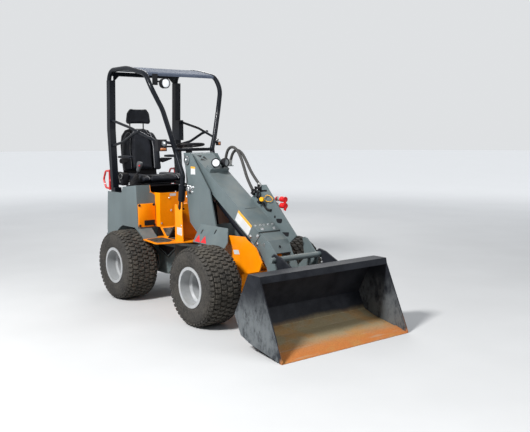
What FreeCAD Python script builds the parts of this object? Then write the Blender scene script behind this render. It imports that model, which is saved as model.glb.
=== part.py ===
import FreeCAD, Part
import math
import os
import Sketcher

# A compact loader with an articulated frame, four equal wheels, a roll-over frame,
# a straight boom with a quick hitch, and a bucket that rests on the ground.
# Lengths are in millimetres and angles in degrees. X runs forward, Y to the machine's
# left and Z up from the floor. Places along X are measured from the rear axle, and the
# finished pieces are moved together so that the origin lies under the middle of the machine.

SIZES = {
    # Overall places along the machine
    "wheelbase": 1320,
    "rear_reach": 620,
    "lip_reach": 2542,
    # Tyre and rim
    "wheel_track": 897,
    "tyre_radius": 325,
    "tyre_width": 313,
    "shoulder_drop": 26,
    "crown_drop": 7,
    "rim_flange_radius": 168,
    "rim_barrel_radius": 150,
    "rim_well_radius": 132,
    "rim_width": 292,
    "rim_thickness": 7,
    "disc_inset": 66,
    "disc_thickness": 10,
    "hub_radius": 62,
    "hub_depth": 34,
    "wheel_nut_circle": 70,
    "wheel_nut_radius": 11,
    "seat_gap": 0.3,
    # Wheel motors and axle beams
    "motor_radius": 88,
    "motor_flange_radius": 115,
    "motor_flange": 14,
    "motor_end_gap": 8,
    "spindle_radius": 30,
    "running_clearance": 0.05,
    "beam_width": 130,
    "beam_depth": 120,
    # Rear frame
    "rail_inner": 150,
    "rail_thickness": 12,
    "rail_rear": 430,
    "rail_front": 400,
    "rail_top": 560,
    "belly_height": 228,
    "belly_thickness": 8,
    "pivot_place": 660,
    "pivot_pin_radius": 30,
    "pivot_tube_radius": 54,
    "lug_radius": 58,
    "lug_thickness": 24,
    "upper_lug_top": 546,
    "lower_lug_bottom": 366,
    "lug_clearance": 3,
    # Engine as one plain block, and the counterweight
    "engine_length": 420,
    "engine_width": 270,
    "engine_height": 440,
    "engine_bottom": 405,
    "engine_front": 30,
    "counterweight_half": 340,
    "tow_pin_radius": 12.5,
    "counterweight_bottom": 330,
    "counterweight_top": 562,
    "counterweight_round": 95,
    # Rear body panels
    "body_half_width": 400,
    "panel_thickness": 6,
    "panel_rear_top": 480,
    "panel_rear_bottom": 506,
    "panel_notch_height": 988,
    "panel_step_place": 165,
    "panel_step_height": 1047,
    "panel_front_top": 106,
    "panel_front_height": 1075,
    "panel_front_bottom": 125,
    "panel_fold_height": 665,
    "cover_rise": 15,
    "cover_height": 220,
    "skirt_front": 235,
    "box_inner": 253,
    "arch_height": 672,
    # Rear door
    "door_thickness": 22,
    "door_bottom": 575,
    "door_top": 980,
    "door_gap": 6,
    "louvre_count": 7,
    "louvre_length": 480,
    "louvre_height": 14,
    "louvre_pitch": 36,
    "door_hinge_radius": 10,
    "door_pin_radius": 5,
    "door_hinge_place": 520,
    "door_hinge_low": 630,
    "door_hinge_high": 880,
    # Platform, seat box and console
    "platform_top": 582,
    "platform_thickness": 8,
    "platform_tip": 240,
    "platform_outer_place": 556,
    "platform_outer": 457,
    "platform_prow": 655,
    "platform_prow_half": 140,
    "mat_thickness": 6,
    "seat_box_front": 200,
    "seat_box_half": 200,
    "seat_box_top": 1000,
    "sheet_thickness": 5,
    "toe_rise": 94,
    "console_rear": 495,
    "console_front": 610,
    "console_face": 470,
    "console_height": 940,
    "column_radius": 24,
    "wheel_centre_place": 400,
    "wheel_centre_height": 1448,
    "hand_wheel_radius": 140,
    "hand_wheel_grip": 12,
    "hand_wheel_tilt": 6,
    # Seat
    "cushion_front": 30,
    "cushion_rear": 450,
    "cushion_half": 240,
    "cushion_bottom": 1078,
    "cushion_depth": 88,
    "backrest_rear": 560,
    "backrest_depth": 85,
    "backrest_top": 1622,
    "backrest_lean": 5.5,
    "headrest_half": 130,
    "headrest_bottom": 1648,
    "headrest_height": 172,
    "headrest_depth": 80,
    # Roll-over frame
    "post_outer": 404,
    "post_width": 62,
    "post_front": 371,
    "post_depth": 65,
    "post_top": 2075,
    "post_bend_height": 1600,
    "post_bend": 17,
    "post_lean": 38,
    "post_foot": 1030,
    "hoop_radius": 24,
    "hoop_rear_place": 428,
    "hoop_crest_place": 60,
    "hoop_crest_height": 2172,
    "roof_front": 292,
    "roof_front_height": 2100,
    "roof_lip": 20,
    "roof_lamp_radius": 45,
    "boot_radius": 31,
    "leg_radius": 22,
    "knee_place": 602,
    "knee_half": 192,
    "knee_height": 1180,
    "foot_place": 552,
    "foot_half": 188,
    "foot_height": 880,
    "guard_radius": 13,
    "roof_thickness": 5,
    # Front frame and tower
    "front_plate_inner": 146,
    "front_plate_thickness": 12,
    "tower_thickness": 12,
    "tower_foot_height": 545,
    "boom_pin_place": 605,
    "boom_pin_height": 1320,
    "boom_pin_radius": 25,
    "boss_radius": 42,
    "fender_outer": 250,
    "fender_fold_height": 750,
    "fender_height": 606,
    # Boom, in its own frame: along the boom from its pin, and square to it
    "boom_droop": 32.2,
    "boom_half_width": 110,
    "boom_over": 68,
    "boom_under": 62,
    "boom_tail": 62,
    "boom_end": 1110,
    "fork_thickness": 13,
    "hitch_pin_along": 1500,
    "hitch_pin_under": 90,
    "hitch_pin_radius": 22,
    "fork_end_radius": 48,
    "pin_gap": 0.3,
    # Lift cylinder
    "bracket_thickness": 12,
    "lamp_radius": 34,
    "hose_radius": 13,
    "lift_foot_place": 850,
    "lift_foot_height": 560,
    "lift_eye_along": 255,
    "lift_eye_under": 125,
    "lift_barrel_radius": 38,
    "lift_barrel_length": 420,
    "lift_rod_radius": 20,
    # Tilt cylinder
    "tilt_foot_along": 405,
    "tilt_foot_under": 150,
    "tilt_eye_along": 1505,
    "tilt_eye_under": 214,
    "tilt_barrel_radius": 34,
    "tilt_barrel_length": 560,
    "tilt_rod_radius": 18,
    "lift_rod_start": 90,
    "tilt_rod_start": 205,
    "steer_rod_start": 190,
    "barrel_clear": 54,
    "eye_half": 18,
    "ear_thickness": 10,
    "ear_gap": 6,
    # Steering cylinder
    "steer_foot_place": 215,
    "steer_foot_side": 88,
    "steer_eye_place": 700,
    "steer_eye_side": 132,
    "steer_height": 455,
    "steer_barrel_radius": 25,
    "steer_barrel_length": 330,
    "steer_rod_radius": 14,
    # Quick hitch and bucket
    "hitch_lug_inner": 118,
    "hitch_lug_thickness": 14,
    "hitch_plate_inner": 190,
    "hitch_plate_thickness": 14,
    "hitch_bar_radius": 22,
    "upper_bar_place": 1968,
    "upper_bar_height": 598,
    "lower_bar_place": 1900,
    "lower_bar_height": 290,
    "bucket_half": 643,
    "bucket_side": 10,
    "bucket_sheet": 8,
    "bucket_top_place": 2165,
    "bucket_top_height": 567,
    "bucket_back_place": 2000,
    "bucket_back_height": 250,
    "bucket_heel_place": 2075,
    "bucket_heel_height": 108,
    "bucket_floor_place": 2180,
    "bucket_floor_height": 70,
    "bucket_brow": 2300,
    "brow_height": 50,
    "edge_depth": 120,
    "edge_thickness": 16,
    "hook_thickness": 16,
}

doc = FreeCAD.newDocument("Loader")
sheet = doc.addObject("Spreadsheet::Sheet", "Sizes")
for row, (name, amount) in enumerate(SIZES.items(), start=1):
    sheet.set(f"A{row}", name)
    sheet.set(f"B{row}", str(amount))
    sheet.setAlias(f"B{row}", name)
doc.recompute()


class Size:
    """A number with the expression that gives it from the sheet."""

    def __init__(self, value, text):
        self.value = value
        self.text = text

    def __add__(self, other):
        other = size(other)
        return Size(self.value + other.value, f"({self.text} + {other.text})")

    def __sub__(self, other):
        other = size(other)
        return Size(self.value - other.value, f"({self.text} - {other.text})")

    def __mul__(self, other):
        other = size(other)
        return Size(self.value * other.value, f"({self.text} * {other.text})")

    def __truediv__(self, other):
        other = size(other)
        return Size(self.value / other.value, f"({self.text} / {other.text})")

    def __neg__(self):
        return Size(-self.value, f"(-1 * {self.text})")

    def __radd__(self, other):
        return size(other) + self

    def __rsub__(self, other):
        return size(other) - self

    def __rmul__(self, other):
        return size(other) * self


def size(amount):
    if isinstance(amount, Size):
        return amount
    return Size(float(amount), f"{float(amount)!r}")


class Sheet:
    """Gives each cell of the sheet by its name."""

    def __getattr__(self, name):
        return Size(float(getattr(sheet, name)), f"Sizes.{name}")


s = Sheet()
origin_shift = (s.rear_reach - s.lip_reach) / 2
half_track = s.wheel_track / 2
Y_AXIS = FreeCAD.Vector(0, 1, 0)
ALONG = {
    "X": FreeCAD.Rotation(FreeCAD.Vector(0, 0, 1), FreeCAD.Vector(1, 0, 0)),
    "Y": FreeCAD.Rotation(FreeCAD.Vector(0, 0, 1), FreeCAD.Vector(0, 1, 0)),
    "Z": FreeCAD.Rotation(),
}
PLANES = {"XZ": "XZ_Plane", "XY": "XY_Plane", "YZ": "YZ_Plane"}
published = []


# Helpers: each makes one object of the document and binds its sizes to the sheet

def bind(thing, path, amount):
    thing.setExpression(path, size(amount).text)


def move(thing, x=0, y=0, z=0):
    bind(thing, "Placement.Base.x", x)
    bind(thing, "Placement.Base.y", y)
    bind(thing, "Placement.Base.z", z)
    return thing


def box(name, x_span, y_span, z_span):
    thing = doc.addObject("Part::Box", name)
    for path, span in (("Length", x_span), ("Width", y_span), ("Height", z_span)):
        bind(thing, path, size(span[1]) - span[0])
    return move(thing, x_span[0], y_span[0], z_span[0])


def cylinder(name, radius, start, length, along="Y"):
    thing = doc.addObject("Part::Cylinder", name)
    bind(thing, "Radius", radius)
    bind(thing, "Height", length)
    thing.Placement.Rotation = ALONG[along]
    return move(thing, *start)


def through(name, radius, x, z, half):
    """A cylinder across the machine, from -half to half."""
    return cylinder(name, radius, (x, -size(half), z), size(half) * 2)


def origin_plane(body, role):
    return [item for item in body.Origin.OriginFeatures if item.Role == role][0]


def outlined_sketch(body, name, plane, outline, offset):
    """A closed outline whose corners are bound to the sheet, on one of the body's planes."""
    sketch = body.newObject("Sketcher::SketchObject", name + "_sketch")
    sketch.AttachmentSupport = (origin_plane(body, PLANES[plane]), [""])
    sketch.MapMode = "FlatFace"
    bind(sketch, "AttachmentOffset.Base.z", offset)
    corners = [(size(a), size(b)) for a, b in outline]
    points = [FreeCAD.Vector(a.value, b.value, 0) for a, b in corners]
    lines = [Part.LineSegment(points[i], points[(i + 1) % len(points)]) for i in range(len(points))]
    sketch.addGeometry(lines, False)
    for i in range(len(points)):
        sketch.addConstraint(Sketcher.Constraint("Coincident", i, 2, (i + 1) % len(points), 1))
    for i, corner in enumerate(corners):
        for kind, amount in zip(("DistanceX", "DistanceY"), corner):
            index = sketch.addConstraint(Sketcher.Constraint(kind, -1, 1, i, 1, amount.value))
            bind(sketch, f"Constraints[{index}]", amount)
    return sketch


def prism(name, plane, outline, start, end):
    """An outline given thickness from start to end along the third axis."""
    body = doc.addObject("PartDesign::Body", name + "_body")
    start, end = size(start), size(end)
    offset = -end if plane == "XZ" else start
    sketch = outlined_sketch(body, name, plane, outline, offset)
    pad = body.newObject("PartDesign::Pad", name + "_pad")
    pad.Profile = sketch
    bind(pad, "Length", end - start)
    return body


def turned(name, outline):
    """An outline of (radius, y) turned about the Y axis."""
    body = doc.addObject("PartDesign::Body", name + "_body")
    sketch = outlined_sketch(body, name, "XY", outline, 0)
    turn = body.newObject("PartDesign::Revolution", name + "_turn")
    turn.Profile = sketch
    turn.ReferenceAxis = (sketch, ["V_Axis"])
    turn.Angle = 360
    return body


def fused(name, pieces):
    thing = doc.addObject("Part::MultiFuse", name + "_fuse")
    thing.Shapes = pieces
    thing.Refine = True
    return thing


def cut(name, base, tools):
    thing = doc.addObject("Part::Cut", name + "_cut")
    thing.Base = base
    thing.Tool = tools[0] if len(tools) == 1 else fused(name + "_tools", tools)
    thing.Refine = True
    return thing


def mirrored(piece):
    thing = doc.addObject("Part::Mirroring", piece.Name + "_mirror")
    thing.Source = piece
    thing.Normal = Y_AXIS
    return thing


def both_sides(pieces):
    return pieces + [mirrored(piece) for piece in pieces]


def group(name, pieces):
    thing = doc.addObject("Part::Compound", name + "_group")
    thing.Links = pieces
    return thing


def rounded_path(points, radii):
    """Straight runs joined by tangent arcs, with a radius for each corner or one for all."""
    edges = []
    start = points[0]
    if not isinstance(radii, tuple):
        radii = (radii,) * (len(points) - 2)
    for before, corner, after, radius in zip(points, points[1:], points[2:], radii):
        inward = (before - corner).normalize()
        outward = (after - corner).normalize()
        half_angle = inward.getAngle(outward) / 2
        reach = radius / math.tan(half_angle)
        middle = (inward + outward).normalize()
        centre = corner + middle * (radius / math.sin(half_angle))
        first, last = corner + inward * reach, corner + outward * reach
        crest = centre - middle * radius
        edges.append(Part.LineSegment(start, first).toShape())
        edges.append(Part.Arc(first, crest, last).toShape())
        start = last
    edges.append(Part.LineSegment(start, points[-1]).toShape())
    return Part.Wire(edges)


def vectors(points):
    return [FreeCAD.Vector(*(size(part).value for part in point)) for point in points]


def shaped(name, shape):
    thing = doc.addObject("Part::Feature", name)
    thing.Shape = shape
    return thing


def tube(name, points, bends, radius):
    """A round bar bent along a path."""
    path = rounded_path(vectors(points), bends)
    start = path.Edges[0]
    ring = Part.Circle(start.valueAt(start.FirstParameter), start.tangentAt(start.FirstParameter),
                       size(radius).value)
    return shaped(name, path.makePipeShell([Part.Wire(ring.toShape())], True, False))


def publish(label, thing):
    """Names a finished piece and sets the machine's middle over the origin."""
    thing.Label = label
    bind(thing, "Placement.Base.x", origin_shift)
    published.append(thing)


def publish_on_boom(label, thing):
    """Names a piece drawn in the boom's frame and lays it at the boom's pin and slope."""
    thing.Label = label
    thing.Placement.Rotation = FreeCAD.Rotation(Y_AXIS, s.boom_droop.value)
    bind(thing, "Placement.Rotation.Angle", s.boom_droop)
    move(thing, origin_shift + s.boom_pin_place, 0, s.boom_pin_height)
    published.append(thing)


def boom_point(along, up):
    """A place in the boom's frame, as (x, z) in the machine's."""
    slope = math.radians(s.boom_droop.value)
    along, up = size(along).value, size(up).value
    x = s.boom_pin_place.value + along * math.cos(slope) + up * math.sin(slope)
    z = s.boom_pin_height.value - along * math.sin(slope) + up * math.cos(slope)
    return x, z


# Wheels

def tyre_outline():
    half = s.tyre_width / 2
    bead_half = s.rim_width / 2 - s.rim_thickness - s.seat_gap
    inner = s.rim_barrel_radius + s.seat_gap
    shoulder = s.tyre_radius - s.shoulder_drop
    lip = s.rim_flange_radius + s.seat_gap
    side = [
        (inner, bead_half),
        (lip, bead_half),
        (lip + 4, half - 16),
        (lip + 30, half - 3),
        (lip + 70, half),
        (shoulder - 18, half - 5),
        (shoulder, half - 12),
        (s.tyre_radius - s.crown_drop, half - 34),
        (s.tyre_radius, half - 90),
    ]
    return side + [(r, -size(y)) for r, y in reversed(side)]


def rim_outline():
    half = s.rim_width / 2
    wall = s.rim_thickness
    barrel, well, lip = s.rim_barrel_radius, s.rim_well_radius, s.rim_flange_radius
    disc_in = -s.disc_inset
    disc_out = disc_in + s.disc_thickness
    hub_end = disc_in - s.hub_depth
    bore = s.spindle_radius + s.running_clearance
    return [
        (lip, half), (lip, half - wall), (barrel, half - wall), (barrel, 60), (well, 45),
        (well, disc_in), (barrel, disc_in - 20), (barrel, wall - half), (lip, wall - half),
        (lip, -half), (barrel - wall, -half), (barrel - wall, disc_in - 24),
        (well - wall - 3, disc_in), (s.hub_radius, disc_in), (s.hub_radius, hub_end),
        (bore, hub_end), (bore, disc_in + 2), (0, disc_in + 2), (0, disc_out + 12),
        (s.hub_radius - 22, disc_out + 12), (s.hub_radius - 14, disc_out),
        (well - wall, disc_out), (well - wall, 42), (barrel - wall, 57), (barrel - wall, half),
    ]


def wheel_nuts():
    nuts = []
    for number in range(5):
        angle = math.radians(72 * number)
        nut = cylinder("nut", s.wheel_nut_radius, (s.wheel_nut_circle * math.cos(angle),
                       s.disc_thickness - s.disc_inset, s.wheel_nut_circle * math.sin(angle)), 16)
        nuts.append(nut)
    return nuts


def wheels():
    for end, place in (("rear", size(0)), ("front", s.wheelbase)):
        for hand, side in (("left", 1), ("right", -1)):
            name = f"{end}_{hand}"
            tyre = turned(name + "_tyre", [(r, size(y) * side) for r, y in tyre_outline()])
            rim = fused(name + "_rim", [turned(name + "_rim", rim_outline())] + wheel_nuts())
            if side < 0:
                rim = mirrored(rim)
            for label, thing in (("tyre_" + name, tyre), ("rim_" + name, rim)):
                thing.Label = label
                move(thing, origin_shift + place, half_track * side, s.tyre_radius)
                published.append(thing)


def axle(label, place, inner, wall):
    """A cross beam between two frame plates, with a wheel motor and a spindle at each end."""
    height = s.tyre_radius
    half_beam, half_depth = s.beam_width / 2, s.beam_depth / 2
    outer = inner + wall
    hub_end = half_track - s.disc_inset - s.hub_depth
    beam = box(label + "_beam", (place - half_beam, place + half_beam), (-inner, inner),
               (height - half_depth, height + half_depth))
    side = [
        cylinder(label + "_flange", s.motor_flange_radius, (place, outer, height), s.motor_flange),
        cylinder(label + "_motor", s.motor_radius, (place, outer, height),
                 hub_end - outer - s.motor_end_gap),
        cylinder(label + "_spindle", s.spindle_radius, (place, 0, height),
                 half_track - s.disc_inset),
    ]
    publish(label, fused(label, [beam] + both_sides(side)))


# Rear frame

def rear_chassis():
    inner, outer = s.rail_inner, s.rail_inner + s.rail_thickness
    rear, front, top, belly = -s.rail_rear, s.rail_front, s.rail_top, s.belly_height
    pivot = s.pivot_place
    rail_outline = [(rear, 300), (rear, top), (front, top), (front, s.lower_lug_bottom),
                    (front - 138, belly), (rear + 180, belly)]
    bore = through("rear_spindle_bore", s.spindle_radius + 1, 0, s.tyre_radius, 200)
    rail = cut("rail", prism("rail", "XZ", rail_outline, inner, outer), [bore])
    cross = [
        cut("front_cross", box("front_cross", (front - 12, front), (-inner, inner), (s.lower_lug_bottom, top)),
            [box("cylinder_window", (front - 20, front + 8), (60, s.rail_inner - 1), (405, 505))]),
        box("rear_cross", (rear, rear + 12), (-inner, inner), (300, top)),
        box("belly", (rear + 180, front - 138), (-inner, inner), (belly, belly + s.belly_thickness)),
    ]
    lugs = []
    for name, bottom in (("upper_lug", s.upper_lug_top - s.lug_thickness),
                         ("lower_lug", s.lower_lug_bottom)):
        outline = [(front, -inner), (front + 60, -inner), (pivot, -s.lug_radius),
                   (pivot, s.lug_radius), (front + 60, inner), (front, inner)]
        lugs.append(prism(name, "XY", outline, bottom, bottom + s.lug_thickness))
        lugs.append(cylinder(name + "_eye", s.lug_radius, (pivot, 0, bottom), s.lug_thickness, "Z"))
    pin = cylinder("pivot_pin", s.pivot_pin_radius, (pivot, 0, s.lower_lug_bottom - 10),
                   s.upper_lug_top - s.lower_lug_bottom + 20, "Z")
    gusset = prism("neck_gusset", "XZ", [(front, s.upper_lug_top - s.lug_thickness),
                   (front + 120, s.upper_lug_top - s.lug_thickness), (front, 440)], 20, 32)
    steer_ears = []
    for low in (s.steer_height - s.eye_half - s.ear_gap - s.ear_thickness,
                s.steer_height + s.eye_half + s.ear_gap):
        steer_ears.append(box("steer_ear", (s.steer_foot_place - 25, s.steer_foot_place + 25),
                              (s.steer_foot_side - 25, inner), (low, low + s.ear_thickness)))
    solids = both_sides([rail, gusset]) + cross + lugs + [pin] + steer_ears
    publish("rear_chassis", fused("rear_chassis", solids))


def engine():
    rear, front = s.engine_front - s.engine_length, s.engine_front
    half = s.engine_width / 2
    block = box("engine", (rear, front), (-half, half),
                (s.engine_bottom, s.engine_bottom + s.engine_height))
    feet = []
    for place in (rear + 60, front - 100):
        feet.append(box("engine_foot", (place, place + 50), (half, s.rail_inner), (470, 500)))
    publish("engine_block", fused("engine_block", [block] + both_sides(feet)))


def counterweight():
    rear = -s.rear_reach
    half, tail = s.body_half_width, s.counterweight_half
    curve = s.counterweight_round
    front = -s.rail_rear - s.pin_gap
    outline = [(front, -half), (front, half), (rear + curve, half), (rear, tail - 40),
               (rear, size(40) - tail), (rear + curve, -half)]
    casting = prism("counterweight", "XY", outline, s.counterweight_bottom, s.counterweight_top)
    slot = box("hitch_slot", (rear - 1, rear + 60), (-45, 45), (430, 460))
    pin_hole = cylinder("tow_pin_hole", s.tow_pin_radius, (rear + 30, 0, s.counterweight_bottom - 1), 260, "Z")
    publish("counterweight", cut("counterweight", casting, [slot, pin_hole]))


def side_panels():
    half, wall = s.body_half_width, s.panel_thickness
    top_front, low_front = s.panel_front_top, s.panel_front_bottom
    base = s.platform_top + s.pin_gap
    tail_base = s.counterweight_top + s.pin_gap
    arch = [(-340, tail_base), (-250, 640), (-180, s.arch_height), (60, s.arch_height), (150, 628),
            (s.skirt_front - 8, base)]
    outline = arch + [
        (s.skirt_front, base), (low_front, s.panel_fold_height),
        (top_front, s.panel_front_height), (-s.panel_step_place, s.panel_step_height),
        (-s.panel_step_place - 25, s.panel_notch_height), (-s.panel_rear_top, s.panel_notch_height),
        (-s.panel_rear_bottom, tail_base),
    ]
    panel = prism("side_panel", "XZ", outline, half - wall, half)
    face = prism("box_face", "XZ", [
        (low_front - wall, s.panel_fold_height), (low_front, s.panel_fold_height),
        (top_front, s.panel_front_height), (top_front - wall, s.panel_front_height)], s.box_inner, half)
    skirt = prism("skirt", "XZ", [
        (low_front - wall, s.panel_fold_height), (low_front, s.panel_fold_height),
        (s.skirt_front, base), (s.skirt_front - 8, base)], s.box_inner, half)
    liner_top = [(x, size(z) + wall) for x, z in reversed(arch)]
    liner = prism("wheel_liner", "XZ", arch + liner_top, s.box_inner, half)
    left, right = both_sides([fused("side", [panel, face, skirt, liner])])
    pins = []
    for low in (s.door_hinge_low, s.door_hinge_high):
        for start in (low - 10, low + 34):
            pins.append(box("hinge_arm", (-s.door_hinge_place - 8, 8 - s.panel_rear_top), (half - wall, half),
                            (start, start + 10)))
        pins.append(cylinder("hinge_pin", s.door_pin_radius, (-s.door_hinge_place, half - 3, low - 10), 54, "Z"))
    publish("side_panels", group("side_panels", [fused("left_side", [left] + pins), right]))


def deck():
    half = s.body_half_width - s.panel_thickness - 1
    front = s.panel_front_top - s.panel_thickness - 1
    outline = [(-455, 974), (-s.panel_step_place - 30, 974), (-s.panel_step_place, 1035), (front, 1062),
               (front, 1074), (-s.panel_step_place - 8, 1047), (-s.panel_step_place - 38, 986), (-455, 986)]
    publish("deck_cover", prism("deck_cover", "XZ", outline, -half, half))


def rear_door():
    top, bottom, thick = s.door_top, s.door_bottom, s.door_thickness
    half = s.body_half_width - 12
    face_top, face_bottom = -s.panel_rear_top - s.door_gap, -s.panel_rear_bottom - s.door_gap
    outline = [(face_top, top), (face_bottom, bottom), (face_bottom - thick + 8, bottom),
               (face_bottom - thick, bottom + 30), (face_top - thick, top - 30), (face_top - thick + 8, top)]
    panel = prism("door", "XZ", outline, -half, half)
    slots = []
    for number in range(int(SIZES["louvre_count"])):
        low = bottom + 60 + s.louvre_pitch * number
        slots.append(box("louvre", (-700, -400), (-s.louvre_length / 2, s.louvre_length / 2),
                         (low, low + s.louvre_height)))
    place, side = -s.door_hinge_place, s.body_half_width - 3
    sleeves, bores = [], []
    for low in (s.door_hinge_low, s.door_hinge_high):
        sleeves.append(cylinder("hinge_sleeve", s.door_hinge_radius, (place, side, low + 1), 32, "Z"))
        sleeves.append(box("hinge_leaf", (place - 4, place + 14), (side - 40, side), (low + 1, low + 33)))
        bores.append(cylinder("hinge_bore", s.door_pin_radius + s.running_clearance, (place, side, low), 34, "Z"))
    door = cut("door", panel, slots)
    publish("rear_door", cut("rear_door", fused("hinged_door", [door] + sleeves), bores))


def platform():
    low, top = s.platform_top - s.platform_thickness, s.platform_top
    outer, prow = s.platform_outer, s.platform_prow_half
    side = [(s.platform_tip, -410), (s.platform_outer_place, -outer), (s.platform_prow, -prow)]
    outline = [(size(150), size(-200)), (size(150), size(200))]
    outline += [(x, -size(y)) for x, y in side] + list(reversed(side))
    plate = prism("platform", "XY", outline, low, top)
    toe = prism("toe", "XZ", [
        (s.seat_box_front, top + s.toe_rise), (s.seat_box_front, top + s.toe_rise - 8),
        (s.seat_box_front + 92, top - 1), (s.seat_box_front + 104, top - 1)],
        -s.seat_box_half, s.seat_box_half)
    bracket = box("platform_bearer", (330, 380), (-s.rail_inner, s.rail_inner), (s.rail_top, low))
    publish("platform", fused("platform", [plate, toe, bracket]))


def floor_mat():
    top = s.platform_top
    mat = box("mat", (s.seat_box_front + 112, s.console_face - 8), (-190, 190), (top, top + s.mat_thickness))
    publish("floor_mat", group("floor_mat", [mat]))


def pedals():
    top = s.platform_top + s.mat_thickness
    pedal = prism("pedal", "XZ", [(330, top), (342, top), (425, top + 86), (418, top + 96)], -150, -70)
    publish("pedals", fused("pedals", both_sides([pedal])))


def seat_box():
    front, half, wall = s.seat_box_front, s.seat_box_half, s.sheet_thickness
    low, top = s.platform_top + s.toe_rise, s.seat_box_top
    face = box("seat_box_face", (front - wall, front), (-half, half), (low, top))
    side = box("seat_box_side", (s.panel_front_top - 40, front), (half - wall, half), (low, top))
    flange = box("seat_box_flange", (s.panel_front_top - 40, s.panel_front_top - 34),
                 (half - wall, s.box_inner), (low, top))
    publish("seat_box", fused("seat_box", [face] + both_sides([side, flange])))


def covers():
    """The orange service covers on the front faces of the side boxes."""
    lean = (s.panel_front_bottom - s.panel_front_top) / (s.panel_front_height - s.panel_fold_height)
    low = s.panel_fold_height + s.cover_rise
    top = low + s.cover_height
    x_low = s.panel_front_bottom - lean * (low - s.panel_fold_height)
    x_top = s.panel_front_bottom - lean * (top - s.panel_fold_height)
    plate = prism("cover", "XZ", [(x_low, low), (x_low + 8, low), (x_top + 8, top), (x_top, top)],
                  s.box_inner + 6, s.body_half_width - 6)
    publish("service_covers", group("covers", both_sides([plate])))


def console():
    wall, half = s.sheet_thickness, s.seat_box_half
    rear, front = s.console_rear, s.console_front
    floor, top = s.platform_top, s.console_height
    cheek_outline = [(rear - 5, floor), (front, floor), (front - 4, 700), (front - 14, 800), (front - 10, top),
                     (s.foot_place + 32, top), (s.foot_place + 30, s.foot_height + 8),
                     (s.foot_place + 12, s.foot_height - 14), (s.foot_place - 12, s.foot_height - 14),
                     (s.foot_place - 30, s.foot_height + 8), (s.foot_place - 32, top - 20), (rear, top - 30)]
    cheek = prism("cheek", "XZ", cheek_outline, half, half + wall)
    web = box("console_web", (s.console_face, rear + 10), (half - 6, half), (floor, top - 30))
    face = box("console_face", (s.console_face - wall, s.console_face), (-half, half), (floor, top - 30))
    lid = box("console_lid", (s.console_face - 90, s.console_face), (-110, 110), (top - 36, top - 30))
    back = box("console_back", (s.console_face - 90, s.console_face - 85), (-110, 110), (760, top - 36))
    publish("console", fused("console", both_sides([cheek, web]) + [face, lid, back]))


def steering():
    centre_x, centre_z = s.wheel_centre_place, s.wheel_centre_height
    tilt = math.radians(s.hand_wheel_tilt.value)
    axis = FreeCAD.Vector(-math.sin(tilt), 0, math.cos(tilt))
    top = FreeCAD.Vector(centre_x.value, 0, centre_z.value)
    foot_z = s.console_height.value - 30
    foot = top - axis * ((top.z - foot_z) / axis.z)
    column_top = top - axis * 46
    column = shaped("column", Part.makeCylinder(s.column_radius.value, (column_top - foot).Length - 3,
                    foot + axis * 3, axis))
    collar = shaped("collar", Part.makeCone(52, 30, 78, foot - axis * 8, axis))
    cap = shaped("column_cap", Part.makeCylinder(30, 30, column_top - axis * 30, axis))
    floor = box("column_floor", (300, 600), (-80, 80), (800, s.console_height - 30 + s.pin_gap))
    publish("steering_column", cut("steering_column", fused("steering_column", [column, collar, cap]), [floor]))
    ring = shaped("hand_wheel", Part.makeTorus(s.hand_wheel_radius.value, s.hand_wheel_grip.value, top, axis))
    hub = shaped("hand_wheel_hub", Part.makeCylinder(34, 44, top - axis * 44, axis))
    spokes = []
    side = axis.cross(Y_AXIS)
    for number in range(3):
        turn = FreeCAD.Rotation(axis, 90 + 120 * number)
        reach = turn.multVec(side) * s.hand_wheel_radius.value
        hub_point = top - axis * 22
        spokes.append(shaped("spoke", Part.makeCylinder(8, (top + reach - hub_point).Length, hub_point,
                                                        top + reach - hub_point)))
    publish("steering_wheel", fused("steering_wheel", [ring, hub] + spokes))


def seat():
    half = s.cushion_half
    low, high = s.cushion_bottom, s.cushion_bottom + s.cushion_depth
    front, rear = -s.cushion_front, -s.cushion_rear
    cushion = prism("cushion", "XZ", [
        (rear, low), (front - 12, low), (front, low + 16), (front + 2, high - 24), (front - 26, high),
        (front - 150, high - 8), (rear, high - 16)], -half, half)
    publish("seat_cushion", cushion)
    lean = math.tan(math.radians(s.backrest_lean.value))
    base_x = s.backrest_rear * -1 + s.backrest_depth
    top = s.backrest_top
    base = high + 6
    slant = (top - base) * lean
    back = prism("backrest", "XZ", [
        (base_x - s.backrest_depth + 34, base), (base_x + 30, base), (base_x + 30 - slant, top - 30),
        (base_x - 6 - slant, top), (base_x - s.backrest_depth + 22 - slant, top - 16)], 18 - half, half - 18)
    publish("seat_back", back)
    head_x = base_x - slant - 36
    head = prism("headrest", "XZ", [
        (head_x - 34, s.headrest_bottom), (head_x + 26, s.headrest_bottom),
        (head_x + 22, s.headrest_bottom + s.headrest_height - 30),
        (head_x - 6, s.headrest_bottom + s.headrest_height),
        (head_x - 34, s.headrest_bottom + s.headrest_height - 12)], -s.headrest_half, s.headrest_half)
    publish("headrest", head)
    shell = prism("seat_shell", "XZ", [
        (rear - 20, low), (base_x - s.backrest_depth + 30, low), (base_x - s.backrest_depth + 14, base),
        (base_x - s.backrest_depth + 2 - slant, top - 16), (base_x - s.backrest_depth + 18 - slant, top - 16),
        (base_x - s.backrest_depth + 33, base), (rear - 6, low + 40)], -200, 200)
    posts = both_sides([box("headrest_post", (head_x - 34.3 - 10, head_x - 34.3), (50, 62),
                            (top - 30, s.headrest_bottom + 60))])
    rails = both_sides([box("seat_rail", (rear + 10, -s.panel_step_place - 50), (150, 175),
                            (986 + s.pin_gap, s.cushion_bottom - s.seat_gap))])
    publish("seat_frame", group("seat_frame", [fused("shell", [shell] + posts)] + rails))


def armrests():
    arm = prism("armrest", "XZ", [(-480, 1310), (-230, 1316), (-215, 1330), (-230, 1346), (-480, 1340)],
                s.cushion_half + 4, s.cushion_half + 50)
    publish("armrests", group("armrests", both_sides([arm])))


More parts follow.
